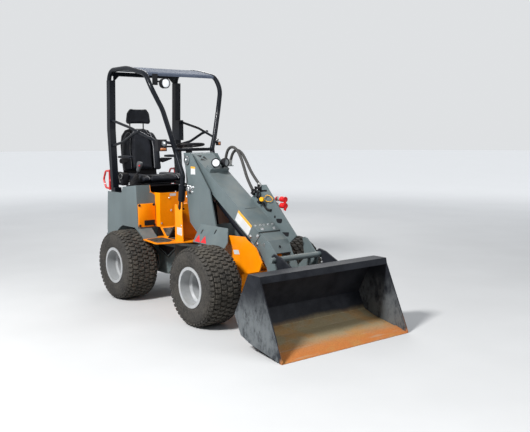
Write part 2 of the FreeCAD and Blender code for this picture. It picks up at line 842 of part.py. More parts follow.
def control_lever():
    lean = size(27) / 272
    base_low = 1047 + s.pin_gap
    plate = prism("lever_plate", "XZ", [(-172, base_low), (-88, base_low + lean * 84), (-88, 1066), (-172, 1066)],
                  -350, -270)
    base = cylinder("bellows", 34, (-130, -310, 1060), 56, "Z")
    stick = cylinder("stick", 7, (-130, -310, 1100), 120, "Z")
    knob = cylinder("knob", 20, (-130, -310, 1215), 60, "Z")
    publish("control_lever", fused("control_lever", [plate, base, stick, knob]))


# Roll-over frame

def rops():
    outer, width, front, depth = s.post_outer, s.post_width, s.post_front, s.post_depth
    foot_shift = s.post_lean - s.post_bend
    post = prism("post", "XZ", [
        (foot_shift - front - depth + 16, s.post_foot), (foot_shift - front, s.post_foot),
        (-front - s.post_bend, s.post_bend_height), (-front, s.post_top),
        (-front - depth, s.post_top), (-front - depth - s.post_bend, s.post_bend_height)], outer - width, outer)
    hoop_y = outer - s.hoop_radius
    hoop = tube("hoop", [
        (-s.hoop_rear_place, hoop_y, s.post_top - 60),
        (-s.hoop_rear_place, hoop_y, s.hoop_crest_height),
        (-s.hoop_crest_place, hoop_y, s.hoop_crest_height),
        (s.roof_front, hoop_y, s.roof_front_height),
        (384, hoop_y, 1975),
        (452, 304, 1774),
        (484, 240, 1540),
        (490, 202, 1410),
        (s.knee_place, s.knee_half, s.knee_height),
        (s.foot_place, s.foot_half, s.foot_height)], (105, 600, 150, 300, 300, 300, 120, 60), s.leg_radius)
    foot = box("leg_foot", (s.foot_place - 24, s.foot_place + 24), (s.foot_half - 24, s.seat_box_half),
               (s.foot_height - 12, s.foot_height + 4))
    knee, ankle = vectors([(s.knee_place, s.knee_half, s.knee_height), (s.foot_place, s.foot_half, s.foot_height)])
    down = (ankle - knee).normalize()
    boot = shaped("leg_boot", Part.makeCylinder(s.boot_radius.value, 145, knee + down * 86, down))
    guard = tube("guard", [
        (-front - 20, hoop_y, 1690), (0, hoop_y, 1610), (375, 352, 1500), (486, 229, 1470)], (400, 60),
        s.guard_radius)
    brace = tube("guard_brace", [(-front - 30, hoop_y, 1438), (-160, hoop_y, 1478), (60, hoop_y, 1560),
                 (150, hoop_y, 1578)], (300, 200), s.guard_radius)
    base = box("post_base", (-front - depth + 20, 36 - front), (outer - width - 20, s.body_half_width - s.panel_thickness - s.pin_gap),
               (986 + s.pin_gap, s.post_foot))
    gusset = prism("corner_gusset", "YZ", [
        (outer - width + 4, s.post_top - 15), (outer - width - 58, 2121), (outer - width + 4, 2121)], -410, -402)
    solids = both_sides([post, hoop, foot, boot, guard, brace, base, gusset])
    rear_cross = box("rear_cross_tube", (-425, -385), (-hoop_y, hoop_y), (2119, 2158))
    front_cross = cylinder("front_cross_tube", 15, (505, -208, 1412), 416)
    post_box = box("post_box", (-front - s.post_bend - 20, -front + 62), (outer - width - 4, outer - 12), (1488, 1695))
    lamp_arm = box("road_lamp_arm", (488, 504), (s.pin_gap - 322, -215), (1434, 1450))
    publish("rops_frame", fused("rops_frame", solids + [rear_cross, front_cross, post_box, lamp_arm]))


def roof():
    half = s.post_outer - s.hoop_radius - s.leg_radius - s.pin_gap
    crest, front, drop = s.hoop_crest_height + 16, s.roof_front, s.roof_front_height + 16
    lip, wall = s.roof_lip, s.roof_thickness
    outline = [
        (-380, crest - 20), (-330, crest - 2), (-s.hoop_crest_place - 55, crest), (55 - s.hoop_crest_place, crest - 10),
        (front - 8, drop), (front + 12, drop - 14), (front + 12, drop - 14 - lip),
        (front + 12 - wall, drop - 14 - lip), (front + 12 - wall, drop - 17), (front - 11, drop - wall),
        (54 - s.hoop_crest_place, crest - 10 - wall), (-s.hoop_crest_place - 55, crest - wall),
        (-328, crest - 2 - wall), (-380, crest - 20 - wall)]
    publish("roof_plate", prism("roof_plate", "XZ", outline, -half, half))


def roof_lamp():
    """A work lamp on a hanger at the front edge of the roof."""
    back = s.roof_front + 12 + s.pin_gap
    hanger = box("lamp_hanger", (back, back + 6), (-318, -264), (1998, s.roof_front_height))
    arm = box("lamp_arm", (back, back + 6), (-270, -200), (2024, 2040))
    bowl = cylinder("lamp_bowl", s.roof_lamp_radius, (back + 5, -207, 2015), 44, "X")
    publish("roof_lamp", fused("roof_lamp", [hanger, arm, bowl]))


def indicator_lamps():
    """A road lamp outside the right leg and a small one outside the left leg."""
    right = box("road_lamp", (496, 548), (-412, -322), (1402, 1506))
    left = box("indicator", (488, 524), (248.5, 282), (1446, 1482))
    publish("indicator_lamps", group("indicators", [right, left]))


def lifting_loops():
    """Red rings behind the rear posts, for tying the machine down."""
    side = 378
    loop = tube("loop", [(-462, side, 1012), (-560, side, 1018), (-606, side, 1100), (-560, side, 1184),
                         (-462, side, 1190)], 34, 10)
    tab = box("loop_tab", (-470, -454), (side - 14, side + 14), (1000, 1202))
    arm = box("loop_arm", (-456, -s.post_front - s.post_depth + 29.5 - s.pin_gap), (side - 12, side + 12), (1085, 1109))
    pieces = both_sides([fused("loop", [loop, tab, arm])])
    publish("lifting_loops", group("lifting_loops", pieces))


# Hydraulic hoses between the tower and the couplers

HOSE_ROUTES = {
    "hose_inner": [(762, 161, 1272.2), (776, 161, 1370), (840, 157, 1438), (942, 148, 1434), (1032, 136, 1362),
                   (1092, 130, 1262), (1150, 126, 1150), (1250, 126, 1038)],
    "hose_outer": [(804, 186, 1273.5), (824, 186, 1362), (900, 184, 1418), (994, 178, 1392), (1076, 166, 1318),
                   (1154, 152, 1238), (1240, 138, 1172), (1340, 128, 1102)],
}


def hose(label, route):
    """A hose as straight runs joined by the widest tangent arcs that the runs allow."""
    points = vectors(route)
    edges = []
    start = points[0]
    radii = []
    for before, corner, after in zip(points, points[1:], points[2:]):
        inward, outward = before - corner, after - corner
        reach = 0.45 * min(inward.Length, outward.Length)
        inward.normalize()
        outward.normalize()
        half_angle = inward.getAngle(outward) / 2
        radius = reach * math.tan(half_angle)
        middle = (inward + outward).normalize()
        crest = corner + middle * (radius / math.sin(half_angle) - radius)
        first, last = corner + inward * reach, corner + outward * reach
        edges.append(Part.LineSegment(start, first).toShape())
        edges.append(Part.Arc(first, crest, last).toShape())
        radii.append(round(radius))
        start = last
    edges.append(Part.LineSegment(start, points[-1]).toShape())
    path = Part.Wire(edges)
    way = points[1] - points[0]
    ring = Part.Circle(points[0], way, s.hose_radius.value)
    solid = path.makePipeShell([Part.Wire(ring.toShape())], True, False)
    expected = math.pi * s.hose_radius.value ** 2 * path.Length
    print(f"{label}: length {path.Length:.0f}, bends {radii}, volume ratio {solid.Volume / expected:.4f}")
    publish(label, shaped(label + "_tube", solid))


# Front frame

def front_chassis():
    inner = s.front_plate_inner
    outer = inner + s.front_plate_thickness
    outline = [(800, 300), (800, 560), (1000, 600), (1190, 625), (1250, 705), (1470, 715), (1510, 690),
               (1625, 640), (1705, 530), (1670, 455), (1440, 400), (1430, 240), (860, 240)]
    bore = through("front_spindle_bore", s.spindle_radius + 1, s.wheelbase, s.tyre_radius, 200)
    plate = cut("front_plate", prism("front_plate", "XZ", outline, inner, outer), [bore])
    rear_wall = box("front_rear_wall", (800, 812), (-inner, inner), (300, s.tower_foot_height - s.pin_gap))
    belly = box("front_belly", (860, 1430), (-inner, inner), (240, 248))
    nose = box("front_nose", (1424, 1436), (-inner, inner), (240, 400))
    tongue_low = s.lower_lug_bottom + s.lug_thickness + s.lug_clearance
    tongue_top = s.upper_lug_top - s.lug_thickness - s.lug_clearance
    tongue = box("tongue", (s.pivot_place, 800), (-46, 46), (tongue_low + 6, tongue_top - 6))
    sleeve = cylinder("pivot_sleeve", s.pivot_tube_radius, (s.pivot_place, 0, tongue_low),
                      tongue_top - tongue_low, "Z")
    pivot_bore = cylinder("pivot_bore", s.pivot_pin_radius + s.running_clearance,
                          (s.pivot_place, 0, tongue_low - 1), tongue_top - tongue_low + 2, "Z")
    arm = prism("steer_arm", "XY", [
        (s.steer_eye_place - 25, s.steer_eye_side - 40), (s.steer_eye_place - 25, s.steer_eye_side + 22),
        (s.steer_eye_place + 25, s.steer_eye_side + 22), (806, 146), (806, 40), (730, 40)],
        s.steer_height - s.eye_half - s.ear_gap - s.ear_thickness, s.steer_height - s.eye_half - s.ear_gap)
    saddle = cut("saddle", fused("tongue_and_sleeve", [tongue, sleeve, arm]), [pivot_bore])
    foot_ears = []
    for start in (s.eye_half + s.ear_gap, -s.eye_half - s.ear_gap - s.ear_thickness):
        foot_ears.append(prism("lift_ear", "XZ", [
            (s.lift_foot_place - 38, 510), (s.lift_foot_place - 28, s.lift_foot_height + 28),
            (s.lift_foot_place + 28, s.lift_foot_height + 28), (s.lift_foot_place + 38, 510)],
            start, start + s.ear_thickness))
    shelf = box("lift_shelf", (800, 930), (-inner, inner), (500, 512))
    solids = both_sides([plate]) + [rear_wall, belly, nose, saddle, shelf] + foot_ears
    publish("front_chassis", fused("front_chassis", solids))


def tower():
    outer = s.front_plate_inner - s.pin_gap
    inner = outer - s.tower_thickness
    foot = s.tower_foot_height
    fold = s.fender_fold_height
    pin_x, pin_z = s.boom_pin_place, s.boom_pin_height
    plate = prism("tower_plate", "XZ", [
        (pin_x - 62, pin_z + 64), (pin_x + 60, pin_z + 58), (955, 1062), (1010, 890), (1055, fold),
        (1180, 640), (1180, foot), (806, foot), (806, 640), (640, fold + 8), (598, 960), (575, 1225)], inner, outer)
    flare = prism("flare", "YZ", [
        (outer - 4, fold + 4), (outer, fold + 10), (s.fender_outer, s.fender_height + 6),
        (s.fender_outer - 6, s.fender_height)], 800, 1320)
    flare_cut = prism("flare_cut", "XZ", [(1100, 900), (1330, 640), (1330, 900)], 0, 400)
    rear_cut = prism("flare_rear_cut", "XZ", [(790, 900), (845, 590), (790, 590)], 0, 400)
    slots = [box("fender_slot", (x, x + 18), (150, 300), (z, z + 34)) for x, z in ((884, 684), (1074, 702))]
    fender = cut("fender", flare, [flare_cut, rear_cut] + slots)
    boss = cylinder("pin_boss", s.boss_radius, (pin_x, outer, pin_z), 8)
    pin = cylinder("boom_pin", s.boom_pin_radius, (pin_x, 0, pin_z), outer + 14)
    cross_place = s.lift_foot_place + s.lift_barrel_radius + 40
    cross = box("tower_cross", (cross_place, cross_place + 12), (-inner, inner), (560, 760))
    top_bar = through("tower_top_bar", 8, pin_x - 56, pin_z + 56, inner + 2)
    shelf = prism("hose_shelf", "XY", [
        (712, outer - 2), (712, outer + 30), (745, outer + 30), (778, outer + 56), (838, outer + 56),
        (838, outer - 2)], 1262, 1270)
    solids = both_sides([plate, fender, boss, pin]) + [cross, top_bar, shelf]
    publish("tower", fused("tower", solids))


# Boom and its cylinders

def boom():
    half, over, under = s.boom_half_width, s.boom_over, s.boom_under
    wall = s.sheet_thickness + 1
    end, tail = s.boom_end, s.boom_tail
    beam = box("beam", (-tail, end), (-half, half), (-under, over))
    core = box("beam_core", (60, end + 1), (wall - half, half - wall), (wall - under, over - wall))
    pin_bore = through("boom_pin_bore", s.boom_pin_radius + s.running_clearance, 0, 0, half + 1)
    tail_cut = prism("tail_cut", "XZ", [(-tail - 1, over + 1), (-tail - 1, 10), (-34, 52), (0, over + 1)],
                     -half - 1, half + 1)
    shell = cut("beam_shell", beam, [core, pin_bore, tail_cut])
    pin_s, pin_n, end_radius = s.hitch_pin_along, -s.hitch_pin_under, s.fork_end_radius
    outline = [(end - 40, over), (1268, over + 4), (1372, 12), (pin_s + 34, pin_n + 34),
               (pin_s + 10, pin_n - end_radius + 1), (1339, -106), (1200, -under), (end - 40, -under)]
    plate = prism("fork", "XZ", outline, half - s.fork_thickness, half)
    eye = cylinder("fork_eye", end_radius, (pin_s, half - s.fork_thickness, pin_n), s.fork_thickness)
    pin = cylinder("hitch_pin", s.hitch_pin_radius, (pin_s, half - s.fork_thickness, pin_n),
                   s.fork_thickness + s.hitch_lug_inner + s.hitch_lug_thickness - half + 6)
    cover = prism("nose_cover", "XZ", [(1165, over + 6), (1268, over + 4), (1360, 10), (1355, 0), (1264, over - 5),
                                       (1165, over - 3)], s.fork_thickness - half, half - s.fork_thickness)
    lift_ears, tilt_ears = [], []
    for start in (s.eye_half + s.ear_gap, -s.eye_half - s.ear_gap - s.ear_thickness):
        lift_ears.append(prism("lift_eye_ear", "XZ", [
            (s.lift_eye_along - 55, -under), (s.lift_eye_along - 22, -s.lift_eye_under - 22),
            (s.lift_eye_along + 22, -s.lift_eye_under - 22), (s.lift_eye_along + 50, -under)],
            start, start + s.ear_thickness))
        tilt_ears.append(prism("tilt_foot_ear", "XZ", [
            (s.tilt_foot_along - 40, -under), (s.tilt_foot_along - 22, -s.tilt_foot_under - 22),
            (s.tilt_foot_along + 22, -s.tilt_foot_under - 22), (s.tilt_foot_along + 50, -under)],
            start, start + s.ear_thickness))
    lamp_stand = box("lamp_stand", (235, 300), (-100, 100), (over - 1, over + 34))
    solids = [shell, cover, lamp_stand] + both_sides([plate, eye, pin]) + lift_ears + tilt_ears
    publish_on_boom("boom", fused("boom", solids))


def coupler_bracket():
    """The plate on the boom's left side that carries the hydraulic couplers."""
    outer = s.boom_half_width
    inner = outer - s.bracket_thickness
    foot = s.boom_over + s.pin_gap
    outline = [(700, foot), (760, 250), (800, 280), (1089, 212), (1346, 161), (1310, 64), (1268, foot + 4),
               (s.boom_end - 40, foot)]
    plate = prism("coupler_bracket", "XZ", outline, inner, outer)
    block = box("coupler_block", (700, 790), (outer - 1, outer + 34), (78, 130))
    clamp = box("hose_clamp", (742, 790), (outer - 1, outer + 34), (190, 226))
    publish_on_boom("coupler_bracket", fused("coupler_bracket", [plate, block, clamp]))


def couplers():
    """Two quick couplers with caps, and the capped drain coupler."""
    face = s.boom_half_width + s.pin_gap
    pieces = []
    for along, up in ((1010, 205), (1062, 190)):
        collar = cylinder("coupler_collar", 15, (along, face + 19, up), 62, "Z")
        cap = cylinder("coupler_cap", 19, (along, face + 19, up + 62), 46, "Z")
        tab = box("coupler_tab", (along - 12, along + 12), (face, face + 19), (up, up + 24))
        pieces.append(fused("coupler", [collar, cap, tab]))
    drain = cylinder("drain_coupler", 13, (860, face, 160), 40)
    drain_cap = cylinder("drain_cap", 17, (860, face + 40, 160), 24)
    pieces.append(fused("drain", [drain, drain_cap]))
    publish_on_boom("couplers", group("couplers", pieces))


def boom_lamps():
    """Two round work lamps on the stand at the root of the boom."""
    up = s.boom_over + 34 + s.pin_gap
    lamps = []
    for side in (-45, 50):
        stem = cylinder("lamp_stem", 9, (268, side, up), 16, "Z")
        bowl = cylinder("lamp_bowl", s.lamp_radius, (245, side, up + 16 + s.lamp_radius - 2), 52, "X")
        lamps.append(fused("lamp", [stem, bowl]))
    publish_on_boom("boom_lamps", group("boom_lamps", lamps))


def cylinder_pair(name, foot, eye, barrel_radius, barrel_length, rod_radius, rod_start):
    """A barrel and its rod between two pins, each (x, y, z). The eye's far ear pins stay apart."""
    foot, eye = vectors([foot, eye])
    way = (eye - foot).normalize()
    length = (eye - foot).Length
    cross = Y_AXIS if abs(way.y) < 0.3 and abs(way.z) > 0.05 else FreeCAD.Vector(0, 0, 1)
    half = s.eye_half.value
    eye_radius = rod_radius.value + 14
    barrel_end = barrel_length.value
    bore = rod_radius.value + s.running_clearance.value
    clear = s.barrel_clear.value
    neck = Part.makeCylinder(half, clear + 5, foot, way)
    barrel = Part.makeCylinder(barrel_radius.value, barrel_end - clear, foot + way * clear, way)
    boss = Part.makeCylinder(eye_radius, 2 * half, foot - cross * half, cross)
    gland = Part.makeCylinder(barrel_radius.value - 4, 16, foot + way * barrel_end, way)
    hollow = Part.makeCylinder(bore, barrel_end, foot + way * 70, way)
    barrel_shape = barrel.cut(hollow).fuse([neck, gland.cut(hollow), boss])
    rod = Part.makeCylinder(rod_radius.value, length - rod_start.value, foot + way * rod_start.value, way)
    rod_eye = Part.makeCylinder(eye_radius, 2 * half, eye - cross * half, cross)
    rod_shape = rod_eye.fuse(rod)
    publish(name + "_barrel", shaped(name + "_barrel_shape", barrel_shape))
    publish(name + "_rod", shaped(name + "_rod_shape", rod_shape))


def cylinders():
    lift_x, lift_z = boom_point(s.lift_eye_along, -s.lift_eye_under)
    cylinder_pair("lift", (s.lift_foot_place, 0, s.lift_foot_height), (lift_x, 0, lift_z),
                  s.lift_barrel_radius, s.lift_barrel_length, s.lift_rod_radius, s.lift_rod_start)
    foot_x, foot_z = boom_point(s.tilt_foot_along, -s.tilt_foot_under)
    eye_x, eye_z = boom_point(s.tilt_eye_along, -s.tilt_eye_under)
    cylinder_pair("tilt", (foot_x, 0, foot_z), (eye_x, 0, eye_z),
                  s.tilt_barrel_radius, s.tilt_barrel_length, s.tilt_rod_radius, s.tilt_rod_start)
    cylinder_pair("steer", (s.steer_foot_place, s.steer_foot_side, s.steer_height),
                  (s.steer_eye_place, s.steer_eye_side, s.steer_height),
                  s.steer_barrel_radius, s.steer_barrel_length, s.steer_rod_radius, s.steer_rod_start)


# Quick hitch and bucket

def hitch():
    pin_x, pin_z = boom_point(s.hitch_pin_along, -s.hitch_pin_under)
    eye_x, eye_z = boom_point(s.tilt_eye_along, -s.tilt_eye_under)
    bore = through("hitch_bore", s.hitch_pin_radius + s.running_clearance, pin_x, pin_z, 300)
    up_x, up_z = s.upper_bar_place, s.upper_bar_height
    low_x, low_z = s.lower_bar_place, s.lower_bar_height
    inner = s.hitch_lug_inner
    lug = prism("hitch_lug", "XZ", [
        (pin_x - 40, pin_z - 20), (pin_x - 40, pin_z + 24), (pin_x - 16, pin_z + 42), (up_x - 40, up_z - 10),
        (up_x, up_z + 22), (up_x + 10, up_z), (low_x + 22, low_z), (low_x, low_z - 24), (low_x - 30, low_z - 6)],
        inner, inner + s.hitch_lug_thickness)
    lug = cut("hitch_lug", lug, [bore])
    outer = s.hitch_plate_inner
    plate = prism("hitch_plate", "XZ", [
        (1800, 712), (1822, 724), (1850, 716), (up_x - 20, up_z + 24), (up_x + 16, up_z + 8),
        (low_x + 26, low_z - 6), (low_x, low_z - 26), (low_x - 34, low_z), (1836, 480)],
        outer, outer + s.hitch_plate_thickness)
    upper = through("upper_bar", s.hitch_bar_radius, up_x, up_z, 280)
    lower = through("lower_bar", s.hitch_bar_radius, low_x, low_z, 280)
    ears = []
    for start in (s.eye_half + s.ear_gap, -s.eye_half - s.ear_gap - s.ear_thickness):
        ears.append(prism("tilt_eye_ear", "XZ", [
            (eye_x - 20, eye_z - 20), (eye_x - 22, eye_z + 22), (eye_x + 10, eye_z + 26), (low_x, low_z + 20),
            (low_x, low_z - 20)], start, start + s.ear_thickness))
    publish("quick_hitch", fused("quick_hitch", both_sides([lug, plate]) + [upper, lower] + ears))


def bucket():
    half, side, sheet_wall = s.bucket_half, s.bucket_side, s.bucket_sheet
    top = (s.bucket_top_place, s.bucket_top_height)
    back = (s.bucket_back_place, s.bucket_back_height)
    heel = (s.bucket_heel_place, s.bucket_heel_height)
    floor = (s.bucket_floor_place, s.bucket_floor_height)
    lip = (s.lip_reach, size(0))
    brow = (s.bucket_brow, s.bucket_top_height)
    outline = [top, back, heel, floor, lip, (s.lip_reach, size(14)), (s.bucket_brow + 8, s.bucket_top_height - 40),
               brow]
    plate = prism("bucket_side", "XZ", outline, half - side, half)
    inner = half - side
    slope = (floor[1] - lip[1]) / (lip[0] - floor[0])
    edge_x = s.lip_reach - s.edge_depth
    shell_points = [top, back, heel, floor, (edge_x + 20, slope * (s.edge_depth - 20))]
    path = rounded_path(vectors([(x, size(0), z) for x, z in shell_points]), 20)
    section = path.makeOffset2D(sheet_wall.value, 2, True, True)
    shell = shaped("bucket_shell", section.extrude(FreeCAD.Vector(0, 2 * inner.value, 0)))
    shell.Placement.Base.y = -inner.value
    edge = prism("cutting_edge", "XZ", [
        (edge_x, slope * s.edge_depth), (s.lip_reach, 0), (s.lip_reach, 4),
        (edge_x, slope * s.edge_depth + s.edge_thickness)], -inner, inner)
    brow_plate = prism("brow", "XZ", [
        top, brow, (s.bucket_brow + 8, s.bucket_top_height - s.brow_height),
        (s.bucket_brow, s.bucket_top_height - s.brow_height), (s.bucket_brow - 8, s.bucket_top_height - 8),
        (s.bucket_top_place, s.bucket_top_height - 8)], -inner, inner)
    hooks = []
    up_x, up_z = s.upper_bar_place, s.upper_bar_height
    low_x, low_z = s.lower_bar_place, s.lower_bar_height
    clear = s.hitch_bar_radius + s.pin_gap
    hook = prism("hook", "XZ", [
        (up_x - 34, up_z - 14), (up_x - 34, up_z + 26), (up_x - 10, up_z + 44), (up_x + 60, up_z + 30),
        (s.bucket_top_place + 2, s.bucket_top_height - 2), (s.bucket_back_place + 2, s.bucket_back_height + 2),
        (low_x + 60, low_z - 40), (low_x - 20, low_z - 34), (low_x - 34, low_z), (low_x - 20, low_z + 34),
        (low_x + 70, low_z + 60), (up_x + 34, up_z - 60), (up_x + 20, up_z - 26), (up_x - 20, up_z - 30)],
        225, 225 + s.hook_thickness)
    upper_seat = through("upper_seat", clear, up_x, up_z, 300)
    lower_seat = through("lower_seat", clear, low_x, low_z, 300)
    hooks.append(cut("hook", hook, [upper_seat, lower_seat]))
    publish("bucket", fused("bucket", both_sides([plate] + hooks) + [shell, edge, brow_plate]))


wheels()
axle("rear_axle", size(0), s.rail_inner, s.rail_thickness)
axle("front_axle", s.wheelbase, s.front_plate_inner, s.front_plate_thickness)
rear_chassis()
engine()
counterweight()
side_panels()
deck()
rear_door()
platform()
floor_mat()
pedals()
seat_box()
covers()
console()
steering()
seat()
armrests()
control_lever()
rops()
roof()
roof_lamp()
indicator_lamps()
lifting_loops()
front_chassis()
tower()
boom()
coupler_bracket()
couplers()
boom_lamps()
for label, route in HOSE_ROUTES.items():
    hose(label, route)
cylinders()
hitch()
bucket()
doc.recompute()

for item in doc.Objects:
    for word in ("Invalid", "Error"):
        if word in item.State:
            raise RuntimeError(f"{item.Name} ({item.Label}) is {word}")
for piece in published:
    shape = piece.Shape
    if shape.isNull() or not shape.isValid() or not shape.Solids:
        raise RuntimeError(f"{piece.Label} has no valid solid")

os.makedirs("parts", exist_ok=True)
for piece in published:
    piece.Shape.exportStep(f"parts/{piece.Label}.step")
    box_ = piece.Shape.BoundBox
    print(f"{piece.Label:20s} {len(piece.Shape.Solids):3d} solids  {piece.Shape.Volume / 1e6:9.3f} l  "
          f"x {box_.XMin:7.0f} {box_.XMax:7.0f}  y {box_.YMin:6.0f} {box_.YMax:6.0f}  z {box_.ZMin:6.0f} {box_.ZMax:6.0f}")
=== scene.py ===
import math

import bpy
from mathutils import Matrix, Quaternion, Vector


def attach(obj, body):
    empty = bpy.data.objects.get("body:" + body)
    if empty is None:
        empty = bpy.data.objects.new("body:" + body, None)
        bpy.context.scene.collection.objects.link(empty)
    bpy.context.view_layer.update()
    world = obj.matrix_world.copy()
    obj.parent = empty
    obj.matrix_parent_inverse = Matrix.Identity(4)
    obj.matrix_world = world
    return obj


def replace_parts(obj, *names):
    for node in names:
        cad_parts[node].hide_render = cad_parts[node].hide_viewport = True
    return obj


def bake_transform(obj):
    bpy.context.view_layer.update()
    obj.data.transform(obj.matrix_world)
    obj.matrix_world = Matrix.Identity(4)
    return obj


# The looks of a compact articulated loader. Lengths are in metres in the machine's own
# frame: X forward, Y to its left, Z up from the floor. Its rear axle lies at REAR_AXLE.

REAR_AXLE = -0.961
WHEELBASE = 1.32
TRACK = 0.897
TYRE_RADIUS = 0.325

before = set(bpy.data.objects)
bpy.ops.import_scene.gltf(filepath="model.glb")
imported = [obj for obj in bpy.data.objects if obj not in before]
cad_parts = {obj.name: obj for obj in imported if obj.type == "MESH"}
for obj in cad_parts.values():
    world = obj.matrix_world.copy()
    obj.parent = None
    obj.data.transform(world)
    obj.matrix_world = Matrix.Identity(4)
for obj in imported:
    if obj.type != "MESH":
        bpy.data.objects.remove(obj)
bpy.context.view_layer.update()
bpy.ops.object.select_all(action="DESELECT")


def place(x, y, z):
    """A place given from the rear axle, in the machine's frame."""
    return Vector((x + REAR_AXLE, y, z))


# Camera, at the photo's own place and angle

def add_camera():
    heading, pitch, roll = math.radians(141.659), math.radians(-6.464), math.radians(-0.175)
    bpy.ops.object.camera_add(location=place(6.2729, -3.7357, 1.5656))
    camera = bpy.context.object
    camera.name = "camera"
    level = Matrix.Rotation(heading - math.pi / 2, 4, "Z") @ Matrix.Rotation(math.pi / 2 + pitch, 4, "X")
    camera.rotation_mode = "QUATERNION"
    camera.rotation_quaternion = level.to_quaternion() @ Quaternion((0, 0, 1), roll)
    camera.data.sensor_width = 36
    camera.data.lens = 50.1
    camera.data.clip_end = 200
    bpy.context.scene.camera = camera


# Materials: a field is a socket that takes part in arithmetic, and a finish is one material

class Field:
    def __init__(self, finish, socket):
        self.finish = finish
        self.socket = socket

    def math(self, operation, *others):
        return self.finish.node("Math", {"operation": operation}, [self, *others])

    def __add__(self, other):
        return self.math("ADD", other)

    def __sub__(self, other):
        return self.math("SUBTRACT", other)

    def __mul__(self, other):
        return self.math("MULTIPLY", other)

    def __rsub__(self, other):
        return self * -1 + other

    __radd__ = __add__
    __rmul__ = __mul__

    def ramp(self, low, high, start=0.0, end=1.0):
        """Runs smoothly from start at low to end at high, and stays level outside."""
        settings = {"interpolation_type": "SMOOTHSTEP"}
        return self.finish.node("MapRange", settings, [self, low, high, start, end])

    def smaller(self, other):
        return self.math("MINIMUM", other)


class Finish:
    def __init__(self, name, specular=0.5):
        self.material = bpy.data.materials.new(name)
        self.material.use_nodes = True
        self.tree = self.material.node_tree
        self.shader = self.tree.nodes["Principled BSDF"]
        self.shader.inputs["Specular IOR Level"].default_value = specular

    def node(self, kind, settings=None, sockets=None, output=0):
        """Adds a shader node. Sockets are a list in order or a dict by name."""
        node = self.tree.nodes.new("ShaderNode" + kind)
        for key, value in (settings or {}).items():
            setattr(node, key, value)
        given = sockets or {}
        pairs = given.items() if isinstance(given, dict) else enumerate(given)
        for key, value in pairs:
            self.join(node.inputs[key], value)
        return Field(self, node.outputs[output])

    def join(self, socket, value):
        if isinstance(value, Field):
            self.tree.links.new(value.socket, socket)
        elif value is not None:
            socket.default_value = value

    def coordinates(self):
        return self.node("TexCoord", output="Object")

    def axis(self, letter):
        """One of the coordinates x, y or z in the machine's frame."""
        return self.node("SeparateXYZ", {}, [self.coordinates()], "xyz".index(letter))

    def facing(self, letter):
        """How far the surface faces along an axis, from -1 to 1."""
        normal = self.node("NewGeometry", output="Normal")
        return self.node("SeparateXYZ", {}, [normal], "XYZ".index(letter))

    def noise(self, scale, detail=4, roughness=0.55, stretch=(1, 1, 1), seed=(0, 0, 0)):
        mapped = self.node("Mapping", {}, {"Vector": self.coordinates(), "Scale": stretch, "Location": seed})
        return self.node("TexNoise", {}, {"Vector": mapped, "Scale": scale, "Detail": detail,
                                          "Roughness": roughness})

    def mix(self, factor, first, second):
        """A colour between two, where each is a colour or a field of colour."""
        node = self.tree.nodes.new("ShaderNodeMix")
        node.data_type = "RGBA"
        self.join(node.inputs[0], factor)
        for socket, colour in ((node.inputs[6], first), (node.inputs[7], second)):
            self.join(socket, colour if isinstance(colour, Field) else (*colour, 1))
        return Field(self, node.outputs[2])

    def bump(self, height, distance, strength=1.0, normal=None):
        return self.node("Bump", {}, {"Height": height, "Distance": distance, "Strength": strength,
                                      "Normal": normal})

    def shade(self, **values):
        names = {"colour": "Base Color", "roughness": "Roughness", "metallic": "Metallic",
                 "coat": "Coat Weight", "normal": "Normal", "glow": "Emission Color",
                 "glow_strength": "Emission Strength"}
        for key, value in values.items():
            if key == "colour" and not isinstance(value, Field):
                value = (*value, 1)
            self.join(self.shader.inputs[names[key]], value)
        return self.material


DUST = (0.30, 0.26, 0.20)
RUST = (0.22, 0.085, 0.03)


def tinted(colour, share):
    """A colour made darker or lighter."""
    return tuple(min(1, part * share) for part in colour)


def paint(name, colour, roughness=0.36, dust=0.35, chips=0.5, coat=0.25, specular=0.5):
    """Sprayed paint with faint mottling, dust where it can settle and a few chips to bare metal."""
    f = Finish(name, specular)
    broad = f.noise(2.4, 3)
    fine = f.noise(60, 5, 0.6)
    streaks = f.noise(9, 4, 0.6, stretch=(1, 1, 0.16), seed=(3, 1, 7))
    shade = (broad * 0.6 + fine * 0.25 + streaks * 0.3).ramp(0.35, 0.8)
    base = f.mix(shade, tinted(colour, 0.78), tinted(colour, 1.12))
    height = f.axis("z")
    low = height.ramp(0.15, 0.95, 1.0, 0.12)
    settled = f.facing("Z").ramp(0.35, 0.95) * 0.7 + low * 0.55
    dusty = (settled * f.noise(7, 6, 0.7, seed=(5, 2, 1)).ramp(0.38, 0.72) * dust).smaller(0.85)
    base = f.mix(dusty, base, DUST)
    chipped = f.noise(34, 6, 0.65, seed=(1, 9, 4)).ramp(0.735 - 0.02 * chips, 0.755 - 0.02 * chips)
    base = f.mix(chipped * 0.8, base, RUST)
    rough = (dusty * 0.45 + fine.ramp(0.3, 0.75) * 0.12 + chipped * 0.3 + roughness).smaller(0.95)
    peel = f.noise(420, 2, 0.5) * 0.5 + fine * 0.2 - chipped * 0.8
    normal = f.bump(peel, 0.0006, 0.35)
    return f.shade(colour=base, roughness=rough, normal=normal, coat=(1 - dusty) * coat)


